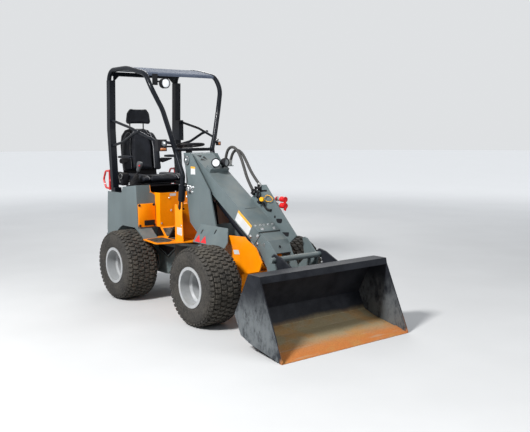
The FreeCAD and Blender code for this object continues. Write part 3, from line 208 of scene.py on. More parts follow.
def moulding(name, colour, roughness=0.55, grain=900, dust=0.4):
    """Textured plastic or rubber with a fine grain, paler where dust lies."""
    f = Finish(name, 0.18)
    cells = f.node("TexVoronoi", {}, {"Vector": f.coordinates(), "Scale": grain})
    broad = f.noise(5, 5, 0.6)
    base = f.mix(broad.ramp(0.3, 0.75), tinted(colour, 0.75), tinted(colour, 1.3))
    dusty = f.facing("Z").ramp(0.2, 0.95) * f.noise(11, 6, 0.7, seed=(2, 2, 2)).ramp(0.35, 0.75) * dust
    base = f.mix(dusty, base, DUST)
    rough = (broad.ramp(0.3, 0.7) * 0.15 + dusty * 0.3 + roughness).smaller(0.95)
    return f.shade(colour=base, roughness=rough, normal=f.bump(cells, 0.0004, 0.5))


def metal(name, colour, roughness=0.35, wear=0.4, rust=0.3):
    """Bare or cast metal, brushed by use and browned where water stands."""
    f = Finish(name)
    fine = f.noise(150, 6, 0.65)
    broad = f.noise(6, 5, 0.6)
    base = f.mix(fine.ramp(0.3, 0.7), tinted(colour, 0.7), tinted(colour, 1.15))
    brown = broad.ramp(0.5, 0.75) * fine.ramp(0.35, 0.65) * rust
    base = f.mix(brown, base, RUST)
    rough = (fine.ramp(0.3, 0.7) * wear * 0.4 + brown * 0.5 + roughness).smaller(0.95)
    return f.shade(colour=base, roughness=rough, metallic=brown * -0.9 + 0.95,
                   normal=f.bump(fine, 0.0006, 0.3))


def roof_finish():
    """Dull dark sheet that mirrors little of the sky."""
    f = Finish("roof_finish", 0.12)
    broad = f.noise(3, 4, 0.6)
    fine = f.noise(70, 5, 0.6)
    base = f.mix((broad * 0.6 + fine * 0.4).ramp(0.35, 0.7), (0.055, 0.068, 0.098), (0.095, 0.112, 0.150))
    base = f.mix(fine.ramp(0.62, 0.72) * 0.3, base, DUST)
    return f.shade(colour=base, roughness=fine * 0.15 + 0.6, normal=f.bump(broad, 0.001, 0.3))


def bucket_finish():
    """Dark paint, scuffed grey low on the sides. The floor is scoured and rusted, most of all at the lip."""
    f = Finish("bucket_finish", 0.08)
    x, y, z = f.axis("x"), f.axis("y").math("ABSOLUTE"), f.axis("z")
    fine = f.noise(90, 7, 0.7)
    patch = f.noise(5, 6, 0.65, seed=(2, 6, 1))
    scrape = f.noise(24, 6, 0.65, stretch=(1, 0.1, 1), seed=(4, 0, 2))
    floor = (f.facing("Z").ramp(0.3, 0.6) * y.ramp(0.637, 0.641, 1, 0)
             * (z + patch * 0.08).ramp(0.14, 0.20, 1, 0) * (x - 1.05).ramp(0.0, 0.04))
    lip = (x + patch * 0.16 + scrape * 0.06).ramp(1.42, 1.63)
    rust = f.mix(lip, (0.330, 0.275, 0.165), (0.50, 0.175, 0.050))
    rust = f.mix(patch.ramp(0.45, 0.62) * 0.6, rust, (0.46, 0.235, 0.075))
    rust = f.mix(fine.ramp(0.40, 0.66) * 0.30, rust, (0.16, 0.085, 0.035))
    rust = f.mix(scrape.ramp(0.54, 0.70) * 0.5, rust, (0.40, 0.31, 0.21))
    edge = x.ramp(1.545, 1.575) * z.ramp(0.01, 0.05, 1, 0)
    base = f.mix(patch.ramp(0.3, 0.7), (0.006, 0.007, 0.010), (0.020, 0.022, 0.027))
    base = f.mix(fine.ramp(0.60, 0.70) * 0.35, base, (0.12, 0.10, 0.08))
    flank = f.facing("Y").math("ABSOLUTE").ramp(0.7, 0.9)
    rubbed = f.noise(15, 6, 0.7, stretch=(1, 1, 0.5), seed=(7, 3, 0))
    scuffed = flank * (z + patch * 0.36).ramp(0.36, 0.66, 1, 0) * rubbed.ramp(0.32, 0.58)
    base = f.mix(scuffed * 0.85, base, (0.170, 0.185, 0.192))
    worn = (floor + edge * 0.8).smaller(1)
    base = f.mix(worn, base, rust)
    rough = worn * 0.25 + fine.ramp(0.3, 0.7) * 0.15 + 0.36
    relief = fine * 0.5 + scrape * 0.5 * worn
    return f.shade(colour=base, roughness=rough, metallic=scuffed * 0.35 + worn * 0.15,
                   normal=f.bump(relief, 0.0012, 0.5))


def tyre_finish():
    """Tread rubber, brown with dust on the crown and in the grooves, darker on the flank."""
    f = Finish("tyre_finish", 0.2)
    y = f.axis("y").math("ABSOLUTE")
    crown = y.ramp(0.30, 0.34) * y.ramp(0.56, 0.60, 1, 0)
    fine = f.noise(70, 6, 0.65)
    broad = f.noise(7, 5, 0.6)
    rubber = f.mix(fine.ramp(0.3, 0.7), (0.012, 0.0115, 0.011), (0.036, 0.034, 0.032))
    dusty = (broad.ramp(0.3, 0.75) * 0.40 + fine.ramp(0.35, 0.7) * 0.28) * (crown * 0.45 + 0.35)
    base = f.mix(dusty, rubber, (0.17, 0.15, 0.12))
    return f.shade(colour=base, roughness=dusty * 0.2 + 0.68, normal=f.bump(fine, 0.0012, 0.5))


def vinyl(name):
    f = Finish(name, 0.2)
    cells = f.node("TexVoronoi", {"feature": "DISTANCE_TO_EDGE"}, {"Vector": f.coordinates(), "Scale": 420})
    broad = f.noise(9, 5, 0.6)
    base = f.mix(broad.ramp(0.3, 0.75), (0.006, 0.007, 0.010), (0.015, 0.017, 0.023))
    dusty = f.facing("Z").ramp(0.3, 0.95) * f.noise(14, 6, 0.7).ramp(0.4, 0.75) * 0.08
    base = f.mix(dusty, base, DUST)
    return f.shade(colour=base, roughness=broad * 0.2 + 0.4, normal=f.bump(cells.ramp(0, 0.12), 0.0006, 0.6))


def braid(name):
    """Woven hose sleeve, drawn as two sets of crossing threads."""
    f = Finish(name)
    wave = f.node("TexWave", {"wave_type": "BANDS", "bands_direction": "DIAGONAL"},
                  {"Vector": f.coordinates(), "Scale": 160, "Distortion": 1.5, "Detail": 2})
    fine = f.noise(240, 4, 0.6)
    base = f.mix(wave.ramp(0.3, 0.8) * 0.6 + fine * 0.4, (0.012, 0.012, 0.012), (0.075, 0.072, 0.068))
    return f.shade(colour=base, roughness=fine * 0.2 + 0.6, normal=f.bump(wave, 0.001, 0.7))


def lens(name, colour, glow):
    """Moulded lamp glass ribbed in squares; its glow is a painted reflection of a bright reflector behind it.
    """
    f = Finish(name)
    cells = f.node("TexVoronoi", {"distance": "CHEBYCHEV"},
                   {"Vector": f.coordinates(), "Scale": 130, "Randomness": 0.1})
    broad = f.noise(30, 3)
    base = f.mix(cells.ramp(0.1, 0.6), tinted(colour, 1.1), tinted(colour, 0.7))
    return f.shade(colour=base, roughness=broad * 0.1 + 0.08, coat=broad * 0.2 + 0.8, glow=base,
                   glow_strength=glow, normal=f.bump(cells, 0.002, 0.6))


def label(name, colour):
    """A printed sheet, slightly faded and dusty."""
    f = Finish(name)
    fine = f.noise(160, 5, 0.6)
    broad = f.noise(12, 4, 0.6)
    base = f.mix(broad.ramp(0.3, 0.75), colour, tinted(colour, 0.86))
    base = f.mix(fine.ramp(0.62, 0.74) * 0.5, base, DUST)
    return f.shade(colour=base, roughness=fine * 0.2 + 0.3, coat=broad * 0.2 + 0.1,
                   normal=f.bump(fine, 0.0003, 0.3))


MATERIALS = {
    "grey": paint("grey", (0.108, 0.137, 0.142), 0.38, dust=0.25, coat=0.12, specular=0.35),
    "orange": paint("orange", (1.0, 0.28, 0.0), 0.34, dust=0.06, coat=0.1, specular=0.25),
    "black_gloss": paint("black_gloss", (0.006, 0.0075, 0.011), 0.26, dust=0.04, chips=0.05, coat=0.06,
                         specular=0.12),
    "roof": roof_finish(),
    "silver": paint("silver", (0.33, 0.34, 0.345), 0.32, dust=0.25),
    "red": paint("red", (0.52, 0.012, 0.012), 0.3),
    "bucket": bucket_finish(),
    "tyre": tyre_finish(),
    "vinyl": vinyl("vinyl"),
    "plastic": moulding("plastic", (0.010, 0.010, 0.012), dust=0.12),
    "mat": moulding("mat", (0.02, 0.02, 0.02), 0.75, 300, 0.7),
    "cast": metal("cast", (0.20, 0.21, 0.21), 0.5, rust=0.5),
    "chrome": metal("chrome", (0.72, 0.73, 0.75), 0.1, 0.2, 0.05),
    "steel": metal("steel", (0.42, 0.42, 0.41), 0.32, rust=0.3),
    "zinc": metal("zinc", (0.60, 0.61, 0.62), 0.26, 0.3, 0.04),
    "red_cap": moulding("red_cap", (0.46, 0.008, 0.010), 0.35, 1200, 0.1),
    "yellow_cap": moulding("yellow_cap", (0.72, 0.36, 0.01), 0.35, 1200, 0.2),
    "lens": lens("lens", (0.82, 0.84, 0.86), 0.28),
    "dark_lens": lens("dark_lens", (0.16, 0.18, 0.19), 0.02),
    "grey_plastic": moulding("grey_plastic", (0.075, 0.08, 0.085), 0.45, 1200, 0.2),
    "amber": lens("amber", (0.42, 0.12, 0.01), 0.02),
    "white_label": label("white_label", (0.60, 0.61, 0.61)),
    "orange_label": label("orange_label", (0.86, 0.40, 0.02)),
    "red_label": label("red_label", (0.62, 0.008, 0.012)),
    "thread": label("thread", (0.30, 0.30, 0.31)),
    "braid": braid("braid"),
}

NODE_MATERIALS = {
    "grey": ["rear_chassis", "counterweight", "side_panels", "rear_door", "tower", "boom", "coupler_bracket",
             "quick_hitch"],
    "orange": ["service_covers", "platform", "seat_box", "console", "front_chassis"],
    "roof": ["roof_plate"],
    "black_gloss": ["pedals", "rops_frame", "lift_barrel", "tilt_barrel", "steer_barrel"],
    "silver": ["rim_rear_left", "rim_rear_right", "rim_front_left", "rim_front_right"],
    "red": ["lifting_loops"],
    "bucket": ["bucket"],
    "tyre": ["tyre_rear_left", "tyre_rear_right", "tyre_front_left", "tyre_front_right"],
    "vinyl": ["seat_cushion", "seat_back", "headrest", "armrests"],
    "plastic": ["deck_cover", "steering_column", "steering_wheel", "seat_frame", "control_lever", "roof_lamp",
                "indicator_lamps", "boom_lamps"],
    "mat": ["floor_mat"],
    "cast": ["rear_axle", "front_axle", "engine_block"],
    "chrome": ["lift_rod", "tilt_rod", "steer_rod"],
    "red_cap": ["couplers"],
    "braid": ["hose_inner", "hose_outer"],
}


def dress_nodes():
    for material, nodes in NODE_MATERIALS.items():
        for node in nodes:
            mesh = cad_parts[node].data
            mesh.materials.clear()
            mesh.materials.append(MATERIALS[material])


# Modelling helpers

def edit(select="SELECT"):
    bpy.ops.object.mode_set(mode="EDIT")
    bpy.ops.mesh.select_all(action=select)


def leave():
    bpy.ops.object.mode_set(mode="OBJECT")


def chosen(*pieces):
    """Makes these pieces the selection, the last of them active."""
    bpy.ops.object.select_all(action="DESELECT")
    for piece in pieces:
        piece.select_set(True)
    bpy.context.view_layer.objects.active = pieces[-1]


def settle(piece, body, material, smooth=30):
    """Applies a piece's place, gives it its material and slot and lets it ride on a body."""
    chosen(piece)
    bpy.ops.object.transform_apply(location=True, rotation=True, scale=True)
    if smooth:
        bpy.ops.object.shade_smooth_by_angle(angle=math.radians(smooth))
    piece.data.materials.clear()
    piece.data.materials.append(MATERIALS[material])
    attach(piece, body)
    piece.select_set(False)
    return piece


def turned(name, profile, steps, way=Vector((0, 0, 1))):
    """A closed or open profile of (radius, along) spun about an axis through the origin."""
    places = [Vector((radius, 0, 0)) + way * along for radius, along in profile]
    bpy.ops.mesh.primitive_plane_add(size=0.01, location=(0, 0, 0))
    piece = bpy.context.object
    piece.name = name
    edit()
    bpy.ops.mesh.merge(type="CENTER")
    bpy.ops.transform.translate(value=places[0])
    for before, after in zip(places, places[1:]):
        bpy.ops.mesh.extrude_vertices_move(TRANSFORM_OT_translate={"value": after - before})
    bpy.ops.mesh.select_all(action="SELECT")
    bpy.ops.mesh.spin(steps=steps, angle=2 * math.pi, center=(0, 0, 0), axis=way)
    bpy.ops.mesh.select_all(action="SELECT")
    bpy.ops.mesh.remove_doubles(threshold=0.00005)
    bpy.ops.mesh.normals_make_consistent(inside=False)
    leave()
    return piece


# Tyres: a spun carcass with rows of wave-shaped turf blocks

TREAD_ROWS = 46
BLOCK_LENGTH = 0.033
BLOCK_HEIGHT = 0.020
BLOCK_WAVE = 0.0075
TREAD_COLUMNS = [
    # (place across the tyre, width, drop of the top below the crown, lean in degrees, row offset)
    (-0.131, 0.036, 0.0125, -30, 0.5),
    (-0.084, 0.049, 0.0012, -3, 0.0),
    (-0.028, 0.049, 0.0, 0, 0.5),
    (0.028, 0.049, 0.0, 0, 0.0),
    (0.084, 0.049, 0.0012, 3, 0.5),
    (0.131, 0.036, 0.0125, 30, 0.0),
]
CARCASS = [(0.1505, 0.138), (0.166, 0.1395), (0.171, 0.1405), (0.178, 0.147), (0.196, 0.153), (0.205, 0.1535),
           (0.208, 0.1548), (0.240, 0.1563), (0.262, 0.155), (0.281, 0.1512), (0.293, 0.1415), (0.306, 0.121),
           (0.3125, 0.066), (0.3135, 0.0)]


def tread_block(width):
    """One block about its own middle: bent in plan, drafted and eased at its top edges."""
    bpy.ops.mesh.primitive_cube_add(size=1, location=(0, 0, 0))
    block = bpy.context.object
    edit()
    bpy.ops.transform.resize(value=(BLOCK_LENGTH, width, BLOCK_HEIGHT))
    bpy.ops.mesh.bisect(plane_co=(0, 0, 0), plane_no=(0, 1, 0))
    bpy.ops.transform.translate(value=(BLOCK_WAVE, 0, 0))
    leave()
    chosen(block)
    for face in block.data.polygons:
        face.select = face.normal.z > 0.9
        if face.select:
            for index in face.vertices:
                block.data.vertices[index].select = True
    bpy.ops.object.mode_set(mode="EDIT")
    bpy.ops.mesh.select_mode(type="FACE")
    bpy.ops.transform.resize(value=(0.84, 0.90, 1))
    bpy.ops.mesh.region_to_loop()
    bpy.ops.mesh.bevel(offset=0.0016, segments=1)
    bpy.ops.mesh.select_mode(type="VERT")
    leave()
    return block


def add_tyres():
    blocks = []
    pitch = 2 * math.pi / TREAD_ROWS
    for across, width, drop, lean, offset in TREAD_COLUMNS:
        block = tread_block(width)
        tilt = Matrix.Rotation(math.radians(-lean), 4, "X")
        top = TYRE_RADIUS - drop - BLOCK_HEIGHT / 2
        block.matrix_world = (Matrix.Rotation(offset * pitch, 4, "Y")
                              @ Matrix.Translation((0, across, top)) @ tilt)
        blocks.append(block)
    chosen(*blocks)
    bpy.ops.object.join()
    row = bpy.context.object
    bpy.ops.object.transform_apply(location=True, rotation=True, scale=True)
    bpy.ops.object.empty_add(location=(0, 0, 0), rotation=(0, pitch, 0))
    turn = bpy.context.object
    chosen(row)
    bpy.ops.object.modifier_add(type="ARRAY")
    array = row.modifiers[-1]
    array.count = TREAD_ROWS
    array.use_relative_offset = False
    array.use_object_offset = True
    array.offset_object = turn
    bpy.ops.object.modifier_apply(modifier=array.name)
    bpy.data.objects.remove(turn)
    outline = CARCASS + [(radius, -across) for radius, across in reversed(CARCASS[:-1])]
    carcass = turned("tyre", outline, 96, Vector((0, 1, 0)))
    chosen(row, carcass)
    bpy.ops.object.join()
    for end, along in (("rear", 0), ("front", WHEELBASE)):
        for hand, side in (("left", TRACK / 2), ("right", -TRACK / 2)):
            chosen(carcass)
            bpy.ops.object.duplicate()
            tyre = bpy.context.object
            tyre.name = f"tread_{end}_{hand}"
            tyre.location = place(along, side, TYRE_RADIUS)
            settle(tyre, f"wheel_{end}_{hand}", "tyre", smooth=35)
            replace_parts(tyre, f"tyre_{end}_{hand}")
    bpy.data.objects.remove(carcass)


# Hoses over the tower, as cords along the same routes as the CAD tubes

HOSE_DIAMETER = 0.026
HOSES = {
    # points (x, y, z) in millimetres from the rear axle
    "hose_inner": [(762, 161, 1272.2), (776, 161, 1370), (840, 157, 1438), (942, 148, 1434),
                   (1032, 136, 1362), (1092, 130, 1262), (1150, 126, 1150), (1250, 126, 1038)],
    "hose_outer": [(804, 186, 1273.5), (824, 186, 1362), (900, 184, 1418), (994, 178, 1392),
                   (1076, 166, 1318), (1154, 152, 1238), (1240, 138, 1172), (1340, 128, 1102)],
}


def hose_curve(name, points, thickness):
    bpy.ops.curve.primitive_nurbs_path_add(location=(0, 0, 0))
    curve = bpy.context.object
    curve.name = name
    spline = curve.data.splines[0]
    spline.points.add(len(points) - len(spline.points))
    for knot, point in zip(spline.points, points):
        knot.co = (*point, 1)
    spline.order_u = 3
    spline.use_endpoint_u = True
    spline.resolution_u = 10
    curve.data.bevel_depth = thickness / 2
    curve.data.bevel_resolution = 4
    curve.data.use_fill_caps = True
    return curve


def add_hoses():
    for name, route in HOSES.items():
        points = [place(x / 1000, y / 1000, z / 1000) for x, y, z in route]
        line = hose_curve(name + "_line", points, 0)
        bpy.ops.object.convert(target="MESH")
        bpy.data.objects.remove(line)
        hose = hose_curve(name + "_sleeve", points, HOSE_DIAMETER)
        bpy.ops.object.convert(target="MESH")
        bpy.ops.object.shade_smooth()
        hose.data.materials.append(MATERIALS["braid"])
        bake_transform(hose)
        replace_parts(hose, name)
        hose.select_set(False)


# Small pieces: blocks, outlined plates, turned pieces and bolts

LEFT = (0, 1, 0)
FRONT = (1, 0, 0)
SIDES = ((-1, "right"), (1, "left"))
BOOM_PIN = (0.605, 1.320)
BOOM_SLOPE = math.radians(32.2)

# How far out the faces are that carry labels, bolts and fittings
TOWER_FACE = 0.1457
TOWER_LABEL = 0.1461
PIN_END = 0.1598
FRONT_LABEL = 0.1581
CHEEK_LABEL = 0.2051
BOOM_LABEL = 0.1101
BRACKET_FACE = 0.0978
SEAT_BOX_FACE = 0.2001
NOTCH_FACE = 0.1622
BOOM_TOP = 0.0681

# The tower's plates lean outwards below this fold, to clear the tyres
FENDER_FOLD = 0.760
FENDER_LEAN = 0.7047


def on_boom(along, across, up):
    """A place in the boom's frame, measured from its pin."""
    cos, sin = math.cos(BOOM_SLOPE), math.sin(BOOM_SLOPE)
    return place(BOOM_PIN[0] + along * cos + up * sin, across, BOOM_PIN[1] - along * sin + up * cos)


def sideways(width):
    """A step across the machine, to its left."""
    return Vector((0, width, 0))


def boom_way(along, across, up):
    return on_boom(along, across, up) - on_boom(0, 0, 0)


def on_side(across, outline):
    """An outline of (x, z) in an upright plane that runs forward."""
    return [place(x, across, z) for x, z in outline]


def on_boom_side(across, outline):
    """An outline of (along, up) in a plane beside the boom."""
    return [on_boom(along, across, up) for along, up in outline]


def slab(name, size, spot, turn=0.0, ease=0.003, segments=2):
    """A block with eased edges about a place, turned about Y."""
    bpy.ops.mesh.primitive_cube_add(size=1, location=(0, 0, 0))
    piece = bpy.context.object
    piece.name = name
    edit()
    bpy.ops.transform.resize(value=size)
    bpy.ops.mesh.bevel(offset=ease, segments=segments)
    leave()
    piece.rotation_euler = (0, turn, 0)
    piece.location = spot
    return piece


def outlined(name, points, way, ease=0.0, segments=2, corner=0.0):
    """A flat outline through these places, its corners rounded, given thickness along a vector."""
    bpy.ops.mesh.primitive_plane_add(size=0.01, location=(0, 0, 0))
    piece = bpy.context.object
    piece.name = name
    edit()
    bpy.ops.mesh.merge(type="CENTER")
    bpy.ops.transform.translate(value=points[0])
    for before, after in zip(points, points[1:] + points[:1]):
        bpy.ops.mesh.extrude_vertices_move(TRANSFORM_OT_translate={"value": after - before})
    bpy.ops.mesh.select_all(action="SELECT")
    bpy.ops.mesh.remove_doubles(threshold=0.00001)
    bpy.ops.mesh.edge_face_add()
    if corner:
        bpy.ops.mesh.bevel(offset=corner, segments=5, affect="VERTICES")
    bpy.ops.mesh.extrude_region_move(TRANSFORM_OT_translate={"value": way})
    bpy.ops.mesh.select_all(action="SELECT")
    bpy.ops.mesh.normals_make_consistent(inside=False)
    if ease:
        bpy.ops.mesh.bevel(offset=ease, segments=segments)
    leave()
    return piece


def standing(name, profile, steps, spot, way):
    """A turned piece that stands on a place and points along a vector."""
    piece = turned(name, profile, steps)
    piece.rotation_mode = "QUATERNION"
    piece.rotation_quaternion = Vector(way).to_track_quat("Z", "Y")
    piece.location = spot
    return piece


def joined(name, pieces):
    chosen(*pieces)
    bpy.ops.object.transform_apply(location=True, rotation=True, scale=True)
    if len(pieces) > 1:
        bpy.ops.object.join()
    piece = bpy.context.object
    piece.name = name
    return piece


def fitted(name, pieces, body, material, smooth=30):
    return settle(joined(name, pieces), body, material, smooth)


def ring(inner, outer, thickness):
    """The profile of a flat ring."""
    return [(inner, 0), (outer, 0), (outer, thickness), (inner, thickness), (inner, 0)]


# Profiles of a bolt as shares of its head's radius
WASHER = [(0, 0), (1.45, 0), (1.45, 0.22), (0, 0.22)]
BOLT_HEAD = [(0, 0.2), (1, 0.2), (1, 0.75), (0.86, 0.9), (0, 0.9)]


def scaled(profile, radius):
    return [(across * radius, along * radius) for across, along in profile]


def add_bolts(name, body, rows, material="zinc"):
    """Hexagon heads on washers. Each row is a place, the way the head points and its radius."""
    heads = []
    for spot, way, radius in rows:
        heads.append(standing("washer", scaled(WASHER, radius), 20, spot, way))
        heads.append(standing("head", scaled(BOLT_HEAD, radius), 6, spot, way))
    fitted(name, heads, body, material)


COVER_LEAN = 0.0463


def cover_face(z):
    """How far forward the face of the leaning service covers is at a height."""
    return 0.1324 - (z - 0.680) * COVER_LEAN


def cover_place(across, z, forward=0.0):
    return place(cover_face(z) + forward, across, z)


def on_cover(side, forward, outline):
    """An outline of (across, z) on the face of one of the covers."""
    return [cover_place(side * across, z, forward) for across, z in outline]


def add_service_covers():
    sheets, vents, strips, edges = [], [], [], []
    for side in (-1, 1):
        sheets.append(outlined("cover", on_cover(side, -0.006, (
            (0.394, 0.680), (0.394, 0.900), (0.210, 0.900), (0.210, 0.680))),
            Vector((0.006, 0, 0)), 0.0015, 2, 0.016))
        middle = side * 0.276
        vents.append(slab("vent", (0.003, 0.112, 0.050), cover_place(middle, 0.716, 0.0005), 0, 0.001, 1))
        for number in range(5):
            spot = cover_place(middle, 0.698 + number * 0.009, 0.003)
            vents.append(slab("bar", (0.005, 0.100, 0.0030), spot, 0.5, 0.0008, 1))
        strips.append(outlined("strip", on_cover(side, -0.0105, (
            (0.262, 0.672), (0.203, 0.672), (0.203, 0.979), (0.243, 1.004), (0.262, 1.004))),
            Vector((0.002, 0, 0)), 0.0006, 1))
        edges.append(outlined("edge", on_cover(side, -0.0112, (
            (0.262, 1.006), (0.242, 1.010), (0.197, 0.982), (0.197, 0.672), (0.203, 0.672), (0.203, 0.977),
            (0.243, 1.003), (0.262, 1.003))), Vector((0.004, 0, 0)), 0.0005, 1))
        edges.append(outlined("fin", on_cover(side, -0.0112, (
            (0.244, 1.000), (0.250, 1.000), (0.257, 1.070), (0.251, 1.070))),
            Vector((0.004, 0, 0)), 0.0005, 1))
    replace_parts(fitted("service_cover_sheets", sheets, "rear_frame", "orange"), "service_covers")
    fitted("cover_vents", vents, "rear_frame", "plastic")
    fitted("front_strips", strips, "rear_frame", "grey")
    fitted("front_strip_edges", edges, "rear_frame", "orange")


TOWER_BOLTS = [
    # (x, z, head radius)
    (0.609, 1.087, 0.010), (0.655, 1.081, 0.012), (0.701, 1.079, 0.009), (0.681, 1.034, 0.009),
]
COVER_BOLTS = [(0.226, 0.694), (0.224, 0.886), (0.378, 0.694), (0.378, 0.886)]
SEAT_BOX_BOLTS = [(-0.098, 0.949), (-0.080, 0.829), (0.098, 0.949), (0.080, 0.829),
                  (-0.185, 0.709), (0.185, 0.709)]
BOOM_SIDE_BOLTS = [(1.150, 0.028), (1.180, -0.030), (1.075, -0.035), (1.262, 0.030)]
LATCH = [(0, 0), (0.034, 0), (0.034, 0.004), (0.022, 0.006), (0.020, 0.016), (0.024, 0.019), (0.024, 0.030),
         (0.019, 0.034), (0, 0.034)]


def add_frame_bolts():
    rows = [(place(x, side * (TOWER_FACE + 0.0001), z), (0, side, 0), radius)
            for side in (-1, 1) for x, z, radius in TOWER_BOLTS]
    rows += [(place(0.605, side * PIN_END, 1.320), (0, side, 0), 0.011) for side in (-1, 1)]
    add_bolts("tower_bolts", "front_frame", rows)
    for side, hand in SIDES:
        out = (0, side, 0)
        latch = standing("latch", LATCH, 32, place(0.650, side * (TOWER_FACE + 0.0003), 1.063), out)
        collar = standing("ring", ring(0.030, 0.041, 0.0035), 48, place(0.605, side * 0.1541, 1.320), out)
        keeper = slab("keeper", (0.058, 0.005, 0.016), place(0.605, side * 0.1565, 1.352), 0, 0.001)
        fitted("pin_keeper_" + hand, [latch, collar, keeper], "front_frame", "zinc")
    rows = [(cover_place(side * y, z), (1, 0, COVER_LEAN), 0.0085)
            for side in (-1, 1) for y, z in COVER_BOLTS]
    add_bolts("cover_bolts", "rear_frame", rows, "plastic")
    rows = [(place(SEAT_BOX_FACE + 0.0001, y, z), FRONT, 0.007) for y, z in SEAT_BOX_BOLTS]
    rows += [(place(0.582, side * 0.2052, 0.726), (0, side, 0), 0.007) for side in (-1, 1)]
    add_bolts("panel_bolts", "rear_frame", rows)
    rows = [(on_boom(1.134, across, 0.0814), boom_way(0, 0, 1), 0.0115) for across in (-0.075, 0.050)]
    rows += [(on_boom(1.080, across, 0.0814), boom_way(0, 0, 1), 0.008)
             for across in (-0.112, -0.060, -0.022, 0.022, 0.068)]
    rows += [(on_boom(along, side * 0.1102, up), (0, side, 0), 0.011)
             for side in (-1, 1) for along, up in BOOM_SIDE_BOLTS]
    add_bolts("boom_bolts", "boom", rows)


def add_boom_ledge():
    ledge = slab("boom_ledge", (0.096, 0.226, 0.013), on_boom(1.112, -0.0165, 0.0749), BOOM_SLOPE, 0.003)
    settle(ledge, "boom", "grey")


# Work lamps and road lamps

def add_lamp(name, body, spot, way, radius, glass="lens"):
    """The rim and the domed glass of a round lamp, at the front of its bowl."""
    rim = standing(name + "_rim", [
        (radius * 0.84, 0.001), (radius * 0.88, 0.007), (radius * 0.97, 0.008), (radius * 1.04, 0.004),
        (radius * 1.04, -0.010), (radius * 0.99, -0.013), (radius * 0.95, -0.002)], 48, spot, way)
    settle(rim, body, "plastic")
    dome = standing(name + "_glass", [
        (0, 0.0075), (radius * 0.3, 0.0070), (radius * 0.6, 0.0052), (radius * 0.86, 0.0022),
        (radius * 0.86, 0.0004), (0, 0.0004)], 48, spot, way)
    settle(dome, body, glass)
    fins = []
    for number in range(2):
        back = -0.018 - 0.008 * number
        fins.append(standing("fin", [
            (radius * 0.9, back), (radius * 1.03, back), (radius * 1.03, back - 0.003),
            (radius * 0.9, back - 0.003)], 32, spot, way))
    fitted(name + "_fins", fins, body, "plastic")


BOOM_LAMPS = {
    # place across the boom, and the way the lamp looks
    "right": (-0.045, (0.80, -0.60, 0)),
    "left": (0.050, (0.90, 0.30, 0)),
}
LAMP_BOWL = [(0, -0.034), (0.020, -0.033), (0.032, -0.026), (0.039, -0.010), (0.041, 0.012), (0.041, 0.020),
             (0.037, 0.022), (0.036, 0.016), (0, 0.016)]
LAMP_YOKE = [(0, 0), (0.011, 0), (0.011, 0.010), (0.007, 0.014), (0.007, 0.030), (0, 0.030)]


def add_lamps():
    add_lamp("roof_lamp", "rear_frame", place(0.3536, -0.207, 2.015), FRONT, 0.045)
    add_lamp("road_lamp", "rear_frame", place(0.5482, -0.352, 1.470), FRONT, 0.030, "dark_lens")
    bulb = standing("road_bulb", [(0, 0.006), (0.006, 0.005), (0.010, 0.002), (0.010, 0)], 24,
                    place(0.5550, -0.350, 1.474), FRONT)
    settle(bulb, "rear_frame", "lens")
    turn_light = slab("turn_light", (0.006, 0.060, 0.022), place(0.5495, -0.360, 1.420), 0, 0.003)
    settle(turn_light, "rear_frame", "amber")
    small = slab("small_light", (0.006, 0.022, 0.022), place(0.5262, 0.265, 1.464), 0, 0.0025)
    settle(small, "rear_frame", "amber")
    bodies = []
    for across, way in BOOM_LAMPS.values():
        bodies.append(standing("bowl", LAMP_BOWL, 48, on_boom(0.271, across, 0.1503), way))
        bodies.append(standing("yoke", LAMP_YOKE, 24, on_boom(0.268, across, 0.1023), boom_way(0, 0, 1)))
    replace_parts(fitted("boom_lamp_bowls", bodies, "boom", "plastic"), "boom_lamps")
    # The two boom lamps are alike: the right one gets the pale glowing glass as a painted reflection, the
    # left one the dark glass as painted shade.
    for (hand, (across, way)), glass in zip(BOOM_LAMPS.items(), ("lens", "dark_lens")):
        mouth = on_boom(0.271, across, 0.1503) + Vector(way) * 0.018
        add_lamp("boom_lamp_" + hand, "boom", mouth, way, 0.037, glass)


# Blank labels and red reflectors

def add_label(name, body, corners, way, material):
    settle(outlined(name, corners, way), body, material, smooth=0)


def add_labels():
    thin = sideways(-0.0006)
    add_label("tower_label", "front_frame", on_side(-TOWER_LABEL, (
        (0.662, 1.246), (0.733, 1.246), (0.736, 1.194), (0.662, 1.194))), thin, "white_label")
    add_label("tower_label_head", "front_frame", on_side(-TOWER_LABEL, (
        (0.661, 1.264), (0.731, 1.263), (0.733, 1.2465), (0.662, 1.2465))), thin, "orange_label")
    for side, hand in SIDES:
        y = side * BOOM_LABEL
        out = sideways(side * 0.0006)
        add_label("boom_label_" + hand, "boom", on_boom_side(y, (
            (0.830, 0.028), (1.045, 0.028), (1.045, -0.050), (0.830, -0.050))), out, "white_label")
        add_label("boom_label_head_" + hand, "boom", on_boom_side(y, (
            (0.830, 0.052), (1.045, 0.052), (1.045, 0.0285), (0.830, 0.0285))), out, "orange_label")
    add_label("front_label", "front_frame", on_side(-FRONT_LABEL, (
        (1.320, 0.590), (1.392, 0.597), (1.410, 0.563), (1.338, 0.555))), thin, "white_label")
    add_label("panel_label", "rear_frame", [place(SEAT_BOX_FACE, y, z) for y, z in (
        (-0.092, 0.990), (-0.024, 0.990), (-0.024, 0.964), (-0.092, 0.964))], Vector((0.0006, 0, 0)),
        "white_label")
    add_label("cheek_label", "rear_frame", on_side(-CHEEK_LABEL, (
        (0.507, 0.706), (0.590, 0.706), (0.592, 0.632), (0.508, 0.640))), thin, "white_label")
    for side, hand in SIDES:
        out = Vector((0, side * 0.0010, 0.0007))
        for number, middle in enumerate((0.905, 1.000)):
            corners = []
            for along, height in ((-0.044, 0.618), (0.044, 0.618), (-0.026, 0.674)):
                spread = (FENDER_FOLD - height) * FENDER_LEAN
                corners.append(place(middle + along, side * (TOWER_LABEL + spread), height))
            add_label(f"reflector_{hand}_{number}", "front_frame", corners, out, "red_label")


# Seat, armrests and the control lever

